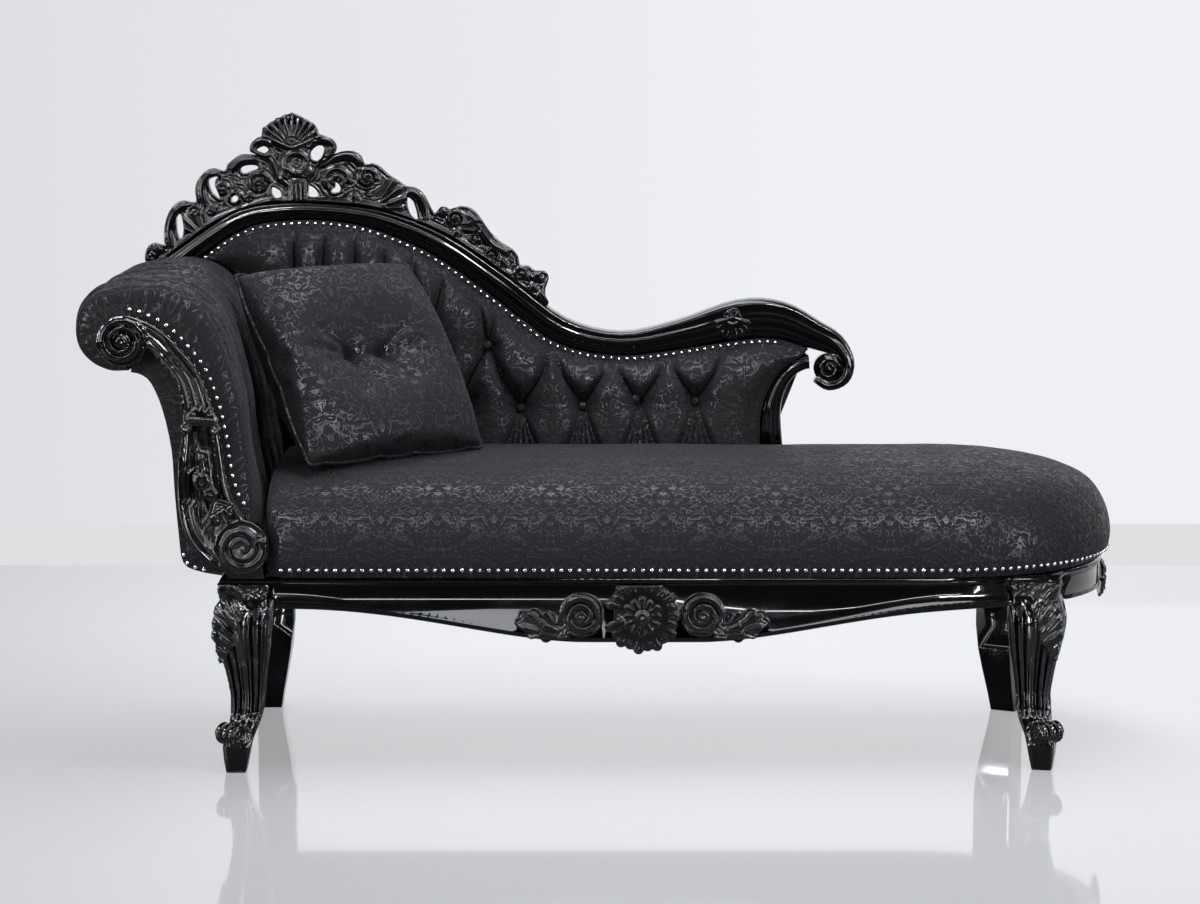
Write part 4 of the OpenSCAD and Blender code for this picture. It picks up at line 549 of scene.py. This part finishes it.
# The cloth lies flat on top, and down the sides its width goes on outwards, round the bow of the foot end
BOW_MIDDLE, BOW_REACH = np.array([0.560, 0.010]), (0.306, 0.300)
EDGE_UP = 0.470
apart = where[:, :2] - BOW_MIDDLE
apart[:, 0] = np.maximum(apart[:, 0], 0) / BOW_REACH[0] ** 2
apart[:, 1] /= BOW_REACH[1] ** 2
apart /= np.linalg.norm(apart, axis=1)[:, None] + 1e-9
drop = np.maximum(0, EDGE_UP - where[:, 2])
flat = where[:, :2] + apart * drop[:, None]
# Slow and finer waves of up to 2 mm, none at the tacked edge
for k, p in enumerate(where):
    wave = noise.noise(Vector((p[0] * 7, p[1] * 7, p[2] * 9))) * 0.0016
    wave += noise.noise(Vector((p[0] * 26, p[1] * 26, p[2] * 12))) * 0.0005
    where[k] += out[k] * wave * min(1, (p[2] - low) / 0.03)
move_to(seat.data, where)
lay_cloth(seat.data, flat)
dress(seat, damask)

# Back pad: deep buttoned. The damask is drawn in at eleven buttons, with folds between the two rows and up to
# the rail, and pleats down to the seat. The outline follows the crest rail, the arm and the end stile.
# Outlines and buttons are in millimetres along the back and up.
back_plane = 0.280
PAD_FOOT = 436
PAD_TOP = [[-731, 834], [-704, 858], [-671, 878], [-639, 891], [-603, 897], [-564, 900], [-525, 900],
           [-483, 896], [-440, 888], [-393, 872], [-340, 849], [-288, 819], [-235, 781], [-182, 740],
           [-126, 695], [-65, 666], [-5, 654], [54, 653], [112, 660], [169, 669], [227, 678], [268, 683],
           [296, 683], [323, 680], [354, 670], [369, 665]]
PAD_LEFT = [[-595, PAD_FOOT], [-596, 469], [-600, 516], [-607, 575], [-613, 619], [-620, 664], [-631, 712],
            [-644, 754], [-663, 789], [-687, 816], [-731, 834]]
PAD_RIGHT = [[282, PAD_FOOT], [282, 465], [281, 498], [281, 524], [283, 549], [289, 572], [297, 592],
             [307, 610], [319, 626], [333, 638], [349, 647], [369, 665]]
LOWER_ROW = [[162, 573], [61, 570], [-43, 567], [-157, 563], [-266, 569], [-374, 562], [-482, 563]]
UPPER_ROW = [[-217, 675], [-328, 672], [-435, 664], [-545, 680]]


def eased(line):
    """A smooth curve through the points of a line, six steps from each to the next."""
    p, count = np.asarray(line, float), 6
    p = np.vstack([2 * p[0] - p[1], p, 2 * p[-1] - p[-2]])
    out = [0.5 * (2 * b + (c - a) * t + (2 * a - 5 * b + 4 * c - d) * t ** 2
                  + (3 * b - a - 3 * c + d) * t ** 3)
           for a, b, c, d in zip(p, p[1:], p[2:], p[3:]) for t in np.arange(count) / count]
    return np.array(out + [p[-2]])


def length_to(line):
    """The length of a line up to each of its points."""
    return np.concatenate([[0], np.cumsum(np.linalg.norm(np.diff(line, axis=0), axis=1))])


def along(line, share):
    """Places at those shares of a line's length."""
    reach = length_to(line)
    return np.stack([np.interp(share * reach[-1], reach, line[:, k]) for k in range(line.shape[1])], -1)


def cloth_grid(across, up, place):
    """A grid of cloth whose points go where place says, and their shares across and up."""
    shape = bmesh.new()
    bmesh.ops.create_grid(shape, x_segments=across, y_segments=up, size=0.5)
    share = np.array([v.co[:2] for v in shape.verts]) + 0.5
    for v, p in zip(shape.verts, place(share[:, 0], share[:, 1])):
        v.co = p
    bmesh.ops.recalc_face_normals(shape, faces=shape.faces)
    return shape, share


PAD_TOP, PAD_LEFT, PAD_RIGHT = eased(PAD_TOP), eased(PAD_LEFT), eased(PAD_RIGHT)


def pad_plan(u, v):
    """The share across and up as a place in the outline."""
    top, left, right = along(PAD_TOP, u), along(PAD_LEFT, v), along(PAD_RIGHT, v)
    bottom = np.stack([PAD_LEFT[0][0] + (PAD_RIGHT[0][0] - PAD_LEFT[0][0]) * u,
                       np.full_like(u, PAD_FOOT)], -1)
    u, v = u[:, None], v[:, None]
    corners = ((1 - u) * (1 - v) * PAD_LEFT[0] + u * (1 - v) * PAD_RIGHT[0] + (1 - u) * v * PAD_TOP[0]
               + u * v * PAD_TOP[-1])
    return (1 - v) * bottom + v * top + (1 - u) * left + u * right - corners


def to_segment(p, a, b):
    """Distance of each place from a straight fold, and how far along it that is."""
    a, b = np.asarray(a, float), np.asarray(b, float)
    t = np.clip(((p - a) @ (b - a)) / ((b - a) @ (b - a)), 0, 1)
    return np.linalg.norm(p - a - t[:, None] * (b - a), axis=1), t


def back_depth(p):
    """How far the pad stands out of its plane, in millimetres."""
    to_top, to_left, to_right = (
        nearest(np.c_[p, 0 * p[:, :1]], drawn(np.c_[line, [0] * len(line)], 3))
        for line in (PAD_TOP, PAD_LEFT, PAD_RIGHT))
    # a flat border 11 mm wide under the rail takes the nails
    rise = ((1 - np.exp(-np.maximum(0, to_top - 11) / 20)) * (1 - np.exp(-to_left / 34))
            * (1 - np.exp(-to_right / 26)))
    pull, fold, pleat = (np.zeros(len(p)) for k in range(3))
    for x, z in LOWER_ROW + UPPER_ROW:
        upper = [x, z] in UPPER_ROW
        pull = np.maximum(pull, np.exp(-(np.linalg.norm(p - [x, z], axis=1) / 24) ** 1.2))
        if upper:
            # up to the rail, and down between the buttons of the lower row
            folds = [(x - 24, z + 230), (x + 36, z + 215), (x - 54, 568), (x + 54, 568)]
        else:
            # past the end of the upper row, up to the rail
            folds = [(x - 53, z + 104), (x + 53, z + 104)] if x > -200 else []
        pleats = [] if upper else [(x + d, 430) for d in (-54, -34, -12, 12, 34, 54)]
        for ex, ez in folds + pleats:
            # each fold bows out a little on its way
            bend = [(x + ex) / 2 + (9 if ex > x else -9) * (ez > z), (z + ez) / 2]
            for a, b, t0 in (([x, z], bend, 0.0), (bend, [ex, ez], 0.5)):
                away, t = to_segment(p, a, b)
                t = t0 + t / 2
                if ez > z or upper:
                    fold = np.maximum(fold, np.exp(-away / (5.5 + 3 * t)) * (1 - 0.15 * t))
                else:
                    pleat = np.maximum(pleat, np.exp(-away / (4.0 + 2 * t)) * (1 - 0.2 * t))
    crown = 62 * rise * (1 - 0.62 * pull) - 40 * fold * rise ** 1.1 * (1 - 0.7 * pull)
    return 7.6 + crown - 17 * pleat * rise * (1 - 0.5 * pull)


def place_back(u, v):
    p = pad_plan(u, v)
    return np.stack([p[:, 0], 1000 * back_plane - back_depth(p), p[:, 1]], -1) / 1000


shape, _ = cloth_grid(400, 160, place_back)
# A rim down to the back's plane, and a flat side behind
rim = [e for e in shape.edges if e.is_boundary]
fold = bmesh.ops.extrude_edge_only(shape, edges=rim)["geom"]
for v in [g for g in fold if isinstance(g, bmesh.types.BMVert)]:
    v.co.y = back_plane - 0.0005
bmesh.ops.holes_fill(shape, edges=[e for e in shape.edges if e.is_boundary], sides=0)
bmesh.ops.recalc_face_normals(shape, faces=shape.faces)
back = new_piece("tufted_back", shape)
lay_cloth(back.data, positions(back.data)[:, [0, 2]])
dress(back, damask, 80)
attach(back, "chaise")
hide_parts("back_tufted_pad")


# Arm pad: hair under damask, carried from the seat up the inside of the arm and over the roll, where the
# cloth is gathered into fine folds. A row of four buttons ties it half way up.
# The section's outside and the frame's core within it are in millimetres along the seat and up.
ARM_FACE = [[-604, 404], [-606, 454], [-612, 504], [-616, 536], [-620, 569], [-624, 602], [-629, 634],
            [-637, 667], [-646, 699], [-656, 731], [-668, 759], [-682, 780], [-698, 796], [-718, 809],
            [-740, 816], [-770, 819], [-800, 819], [-829, 815], [-854, 807], [-875, 787], [-884, 757],
            [-880, 726], [-861, 701], [-833, 687], [-802, 687]]
ARM_CORE = [[-668, 395], [-670, 422], [-672, 449], [-674, 476], [-676, 503], [-677, 530], [-679, 556],
            [-683, 583], [-688, 610], [-695, 636], [-705, 661], [-723, 681], [-741, 701], [-759, 721],
            [-777, 741], [-791, 754], [-800, 766], [-812, 772], [-827, 771], [-839, 763], [-846, 750],
            [-845, 736], [-838, 724], [-826, 717], [-811, 716]]
ARM_FACE, ARM_CORE = eased(ARM_FACE), eased(ARM_CORE)
ARM_ENDS = -291.5, 269.7
ARM_BUTTONS = [[-176.5, 569], [-68.5, 569], [39.5, 569], [147.5, 569]]
END_ROWS = 0.09           # share of the rows that goes over each end
INNER_SHARE = 0.62        # share of the section from the seat to the top of the roll


def place_arm(u, v):
    """Across is along the section, from the seat to the underside of the roll. Up runs over the front end,
    along the arm and down over the back end."""
    face = along(ARM_FACE, u)
    reach = length_to(ARM_FACE)
    core = np.stack([np.interp(u, reach / reach[-1], ARM_CORE[:, k]) for k in range(2)], -1)
    ahead, behind = along(ARM_FACE, np.minimum(1, u + 0.01)), along(ARM_FACE, np.maximum(0, u - 0.01))
    tangent = (ahead - behind) / np.linalg.norm(ahead - behind, axis=1)[:, None]
    outward = np.stack([tangent[:, 1], -tangent[:, 0]], -1)
    # how far over an end, and how far along the arm
    last = 1 - END_ROWS
    over = np.where(v < END_ROWS, 1 - v / END_ROWS, np.where(v > last, (v - last) / END_ROWS, 0))
    length = np.clip((v - END_ROWS) / (1 - 2 * END_ROWS), 0, 1)
    y = ARM_ENDS[0] + (ARM_ENDS[1] - ARM_ENDS[0]) * length
    deep = np.linalg.norm(core - face, axis=1)
    # the cloth rounds over the edge of both ends on a radius of 13 mm
    turn = 13.0
    from_end = np.minimum(y - ARM_ENDS[0], ARM_ENDS[1] - y)
    inset = np.where(from_end < turn, turn - np.sqrt(np.maximum(0, turn ** 2 - (turn - from_end) ** 2)), 0)
    inset = np.where(over > 0, turn + (deep - turn) * over, inset)
    swell = 22 * np.minimum(1, 3.2 * np.sqrt(np.clip(length * (1 - length), 0, 1)))
    swell *= np.where(u < INNER_SHARE, np.clip(1.25 - 1.1 * np.abs(u - 0.3), 0, 1),
                      np.clip(0.9 - 2.6 * (u - INNER_SHARE), 0.12, 1))
    here = np.stack([y, face[:, 1]], -1)
    pull, crease = np.zeros(len(u)), np.zeros(len(u))
    inner = u < INNER_SHARE
    for by, bz in ARM_BUTTONS:
        away = np.linalg.norm((here - [by, bz]) * [1.0, 0.8], axis=1)
        pull = np.maximum(pull, np.where(inner, np.exp(-(away / 30) ** 1.4), 0))
        for ey, ez, weight in ((by - 4, bz + 165, 1.0), (by + 30, bz + 120, 0.6), (by - 34, bz + 120, 0.6),
                               (by, 430, 0.9), (by - 40, 430, 0.7), (by + 40, 430, 0.7)):
            away, t = to_segment(here, [by, bz], [ey, ez])
            deepest = weight * np.exp(-away / (4.5 + 5 * t)) * (1 - 0.55 * t)
            crease = np.maximum(crease, np.where(inner, deepest, 0))
    moved = swell - 36 * pull - 25 * crease * np.minimum(1, from_end / 20)
    # gathers: sharp creases some 25 mm apart run round the roll, strongest on top of it
    wave = np.array([(noise.noise(Vector((yy * 0.038 + ss * 2.2, ss * 3.0, 3.1))),
                      noise.noise(Vector((yy * 0.085 - ss * 3.0, ss * 4.0, 9.7)))) for yy, ss in zip(y, u)])
    gather = 0.5 * wave[:, 0] + 0.3 * wave[:, 1] - 0.5 * np.exp(-(wave[:, 0] / 0.07) ** 2)
    gather -= 0.3 * np.exp(-(wave[:, 1] / 0.08) ** 2)
    strength = np.clip((u - 0.30) / 0.25, 0, 1) * np.clip((1.0 - u) / 0.12, 0, 1)
    moved += 9.0 * gather * strength * np.minimum(1, from_end / 14)
    # radial gathers on the front of the roll, where the cloth is turned in behind the facing
    radial = np.array([noise.noise(Vector((ss * 70, 0.5, 0.2))) for ss in u])
    push = np.where((over > 0) & (v < 0.5), 6.5 * radial * strength * (1 - over), 0)
    p = face + outward * moved[:, None]
    toward = (core - face) / (deep[:, None] + 1e-9)
    p = np.where((over > 0)[:, None], face + toward * inset[:, None], p + toward * inset[:, None])
    return np.stack([p[:, 0], y - push * 0.6, p[:, 1]], -1) / 1000


shape, share = cloth_grid(280, 210, place_arm)
# The inside of the pad, which lies on the arm's frame, from the front end's rim to the back end's
rim = [e for e in shape.edges if e.is_boundary]
front_rim = {v for v, s in zip(shape.verts, share) if s[1] < 1e-6}
back_rim = {v for v, s in zip(shape.verts, share) if s[1] > 1 - 1e-6}
rows = [e for side in (front_rim, back_rim) for e in rim if all(v in side for v in e.verts)]
bmesh.ops.bridge_loops(shape, edges=rows)
bmesh.ops.holes_fill(shape, edges=[e for e in shape.edges if e.is_boundary], sides=0)
bmesh.ops.recalc_face_normals(shape, faces=shape.faces)
arm = new_piece("padded_arm", shape)
lay_cloth(arm.data, share * [0.83, 0.62])
dress(arm, damask, 80)
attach(arm, "chaise")
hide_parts("arm_pad")


# Outside panels and lining: one layer of the same damask, stretched flat over the outside of the arm and of
# the back and stitched at its edges. A piece of it lines the front of the arm, behind the facing.
for name, made_from, plan in (
        ("arm_outside", "arm_outer_panel", [1, 2]),
        ("back_outside", "back_outer_panel", [0, 2]),
        ("arm_front_cloth", "arm_front_lining", [0, 2])):
    panel = copy_of(name, made_from)
    lay_cloth(panel.data, positions(panel.data)[:, plan])
    dress(panel, damask, 40)

# Dust cover and the cloth behind the back pad: thin black cambric
black_cambric = new_material("black cambric")
place = node(black_cambric, "TexCoord", {})
threads = node(black_cambric, "TexNoise", {"Vector": place.outputs["Object"], "Scale": 900.0})
tone = node(black_cambric, "MixRGB", {0: threads.outputs[0], 1: colour("#0f0f10"), 2: colour("#1c1c1e")})
surface = node(black_cambric, "BsdfPrincipled", {"Base Color": tone.outputs[0], "Roughness": 0.9})
node(black_cambric, "OutputMaterial", {0: surface.outputs[0]})
finish_nodes(black_cambric, "dust_cover", "back_hessian")


# Loose cushion: a feather cushion 376 mm square in the same damask, with a piped seam, tied through the
# middle by two buttons. A cloth simulation blows up a bag that starts nearly full, and folds are added then.
cushion_at = (Matrix.Translation((-0.433, 0.0, 0.6703)) @ Matrix.Rotation(math.radians(40), 4, "Z")
              @ Matrix.Rotation(math.radians(-35), 4, "X"))
cushion_w = 0.376
cushion_t = 0.120
tie = cushion_w * 0.085   # from the middle to each button
STEPS = 16                # of the simulation
shape = bmesh.new()
bmesh.ops.create_grid(shape, x_segments=72, y_segments=72, size=0.5)
for v in shape.verts:
    x, y = v.co.x * 2, v.co.y * 2
    # two layers of cloth, joined at their rim, with the sides drawn in a little between the corners. They
    # start nearly full, but for the two dents of the buttons.
    across, up = x * (0.98 + 0.02 * y * y) * cushion_w / 2, y * (0.98 + 0.02 * x * x) * cushion_w / 2
    dent = sum(math.exp(-math.hypot(across - side * tie, up) / 0.026) for side in (-1, 1))
    bulk = max(0, (1 - abs(x) ** 2.6) * (1 - abs(y) ** 2.6)) ** 0.6
    v.co = (across, -0.054 * bulk * max(0.25, 1 - 0.68 * dent), up)
behind = bmesh.ops.duplicate(shape, geom=shape.verts[:] + shape.edges[:] + shape.faces[:])["geom"]
for v in [g for g in behind if isinstance(g, bmesh.types.BMVert)]:
    v.co.y = -v.co.y
bmesh.ops.remove_doubles(shape, verts=shape.verts, dist=0.00001)
bmesh.ops.recalc_face_normals(shape, faces=shape.faces)
if shape.calc_volume(signed=True) < 0:
    bmesh.ops.reverse_faces(shape, faces=shape.faces)
cushion = new_piece("loose_cushion", shape)
flat = positions(cushion.data)
seam = sorted((k for k, p in enumerate(flat) if abs(p[1]) < 1e-6),
              key=lambda k: math.atan2(flat[k][2], flat[k][0]))
tied = cushion.vertex_groups.new(name="tied")
for k, p in enumerate(flat):
    if min(math.hypot(p[0] - tie, p[2]), math.hypot(p[0] + tie, p[2])) < 0.006:
        tied.add([k], 1.0, "REPLACE")
blown = cushion.modifiers.new("stuffing", "CLOTH")
blown.settings.use_pressure = True
blown.settings.uniform_pressure_force = 3.0
blown.settings.vertex_group_mass = "tied"
blown.settings.tension_stiffness = blown.settings.compression_stiffness = 15
blown.settings.bending_stiffness = 0.5
blown.settings.effector_weights.gravity = 0
for step in range(1, STEPS + 1):
    bpy.context.scene.frame_set(step)
settle(cushion)
bpy.context.scene.frame_set(1)
# stuffed out to the full width and thickness
where = positions(cushion.data)
x, z = (where[:, k] / np.abs(where[:, k]).max() for k in (0, 2))
where[:, 0] *= (1 + 0.075 * (1 - z ** 2)) * (1 - 0.03 * z ** 8)
where[:, 2] *= (1 + 0.075 * (1 - x ** 2)) * (1 - 0.03 * x ** 8)
where *= np.array([cushion_w, cushion_t, cushion_w]) / 2 / np.abs(where).max(axis=0)
# folds run from the buttons to the sides, and two down from the left one
plan = where[:, [0, 2]]
fold = np.zeros(len(plan))
for x, ends in (
        (-tie, ((-0.13, 0.012), (-0.105, -0.020), (-0.09, 0.045), (-0.055, -0.085), (-0.012, -0.070))),
        (tie, ((0.13, 0.010), (0.11, -0.018), (0.085, 0.040), (0.05, -0.06), (-tie, 0.0)))):
    for end in ends:
        away, t = to_segment(plan, (x, 0.0), end)
        fold = np.maximum(fold, np.exp(-away / (0.004 + 0.006 * t)) * (1 - 0.6 * t))
where[:, 1] += 0.017 * fold * np.clip((-where[:, 1] - 0.004) / 0.01, 0, 1)
move_to(cushion.data, where)
lay_cloth(cushion.data, flat[:, [0, 2]] + [0.047, 0.05])
cushion.data.transform(cushion_at)
dress(cushion, damask)
soft = cushion.modifiers.new("soft", "SUBSURF")
soft.levels = soft.render_levels = 1
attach(cushion, "cushion")
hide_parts("pillow")

# The seam's piping: a cord in a bias strip of the damask, sewn in all the way round
piping_r = 0.0032
course = where[seam]
ahead = np.roll(course, -1, axis=0) - np.roll(course, 1, axis=0)
ahead /= np.linalg.norm(ahead, axis=1)[:, None]
out = np.stack([ahead[:, 2], np.zeros(len(seam)), -ahead[:, 0]], -1)
shape = bmesh.new()
rings = [[shape.verts.new(Vector(c + piping_r * (o * (0.8 + math.cos(a)) + np.array([0, math.sin(a), 0]))))
          for a in np.arange(8) * math.pi / 4] for c, o in zip(course, out)]
for near, far in zip(rings, rings[1:] + rings[:1]):
    for k in range(8):
        shape.faces.new((near[k], far[k], far[(k + 1) % 8], near[(k + 1) % 8]))
bmesh.ops.recalc_face_normals(shape, faces=shape.faces)
piping = new_piece("cushion_piping", shape)
lay_cloth(piping.data, positions(piping.data)[:, [0, 2]])
piping.data.transform(cushion_at)
dress(piping, damask)
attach(piping, "cushion")
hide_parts("pillow_piping")


# Nails: low domes pressed from steel and nickel plated. They are hammered through the edge of the damask,
# some 15 mm apart, along the seat, the arm and the back.
nickel = new_material("bright nickel plate")
place = node(nickel, "TexCoord", {})
dull = node(nickel, "TexNoise", {"Vector": place.outputs["Object"], "Scale": 90.0})
rough = node(nickel, "MapRange", {0: dull.outputs[0], 3: 0.12, 4: 0.3})
surface = node(nickel, "BsdfPrincipled", {"Base Color": colour("#dedfe0"), "Metallic": 1.0,
                                          "Roughness": rough.outputs[0]})
node(nickel, "OutputMaterial", {0: surface.outputs[0]})


def domes(name, cad_node, size, height):
    """One dome in the place of each nail of a CAD node, facing the same way."""
    source, shape = joined_up(cad_node, dist=0.00005), bmesh.new()
    source.faces.index_update()
    left = set(source.verts)
    for start in source.verts:
        if start not in left:
            continue
        left.discard(start)
        group, edge = [start], [start]
        while edge:
            for e in edge.pop().link_edges:
                for v in e.verts:
                    if v in left:
                        left.discard(v)
                        group.append(v)
                        edge.append(v)
        # the flat side has the most area in one plane, and the dome stands on its middle
        faces = sorted({f for v in group for f in v.link_faces}, key=lambda f: f.index)
        flat_side = max(faces, key=lambda g: sum(f.calc_area() for f in faces
                                                 if f.normal.dot(g.normal) > 0.999)).normal
        furthest = max(v.co.dot(flat_side) for v in group)
        base = [v.co for v in group if v.co.dot(flat_side) > furthest - 0.0003]
        middle = sum(base, Vector()) / len(base)
        turned = (-flat_side).to_track_quat("Z", "Y").to_matrix().to_4x4()
        made = bmesh.ops.create_uvsphere(shape, u_segments=8, v_segments=4, radius=0.5)["verts"]
        for v in made:
            v.co = (v.co.x * size, v.co.y * size, max(0, v.co.z) * 2 * height)
        bmesh.ops.transform(shape, matrix=Matrix.Translation(middle) @ turned, verts=made)
    source.free()
    piece = new_piece(name, shape)
    dress(piece, nickel)
    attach(piece, "chaise")
    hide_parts(cad_node)


domes("seat_nails", "seat_nail_trim", 0.0092, 0.0032)
domes("arm_nails", "arm_nail_trim", 0.0088, 0.0032)
domes("back_nails", "back_nail_trim", 0.0070, 0.0026)

# Buttons: covered in the damask on the back and the arm, and tied down with twine. The two on the loose
# cushion are cut jet, sewn on through it.
for name, made_from in (("back_buttons", "back_tuft_buttons"), ("arm_buttons", "arm_tuft_buttons")):
    covered = copy_of(name, made_from)
    lay_cloth(covered.data, positions(covered.data)[:, [0, 2]])
    dress(covered, damask, 50)

jet = new_material("cut jet")
place = node(jet, "TexCoord", {})
cuts = node(jet, "TexVoronoi", {"Vector": place.outputs["Object"], "Scale": 420.0}, feature="F1")
raised = node(jet, "Bump", {"Height": cuts.outputs[0], "Strength": 0.9, "Distance": 0.001})
surface = node(jet, "BsdfPrincipled", {"Base Color": colour("#0c0c0e"), "Roughness": 0.06, "IOR": 1.66,
                                       "Normal": raised.outputs[0]})
node(jet, "OutputMaterial", {0: surface.outputs[0]})
dress(copy_of("cushion_buttons", "pillow_buttons", body="cushion"), jet, 30)
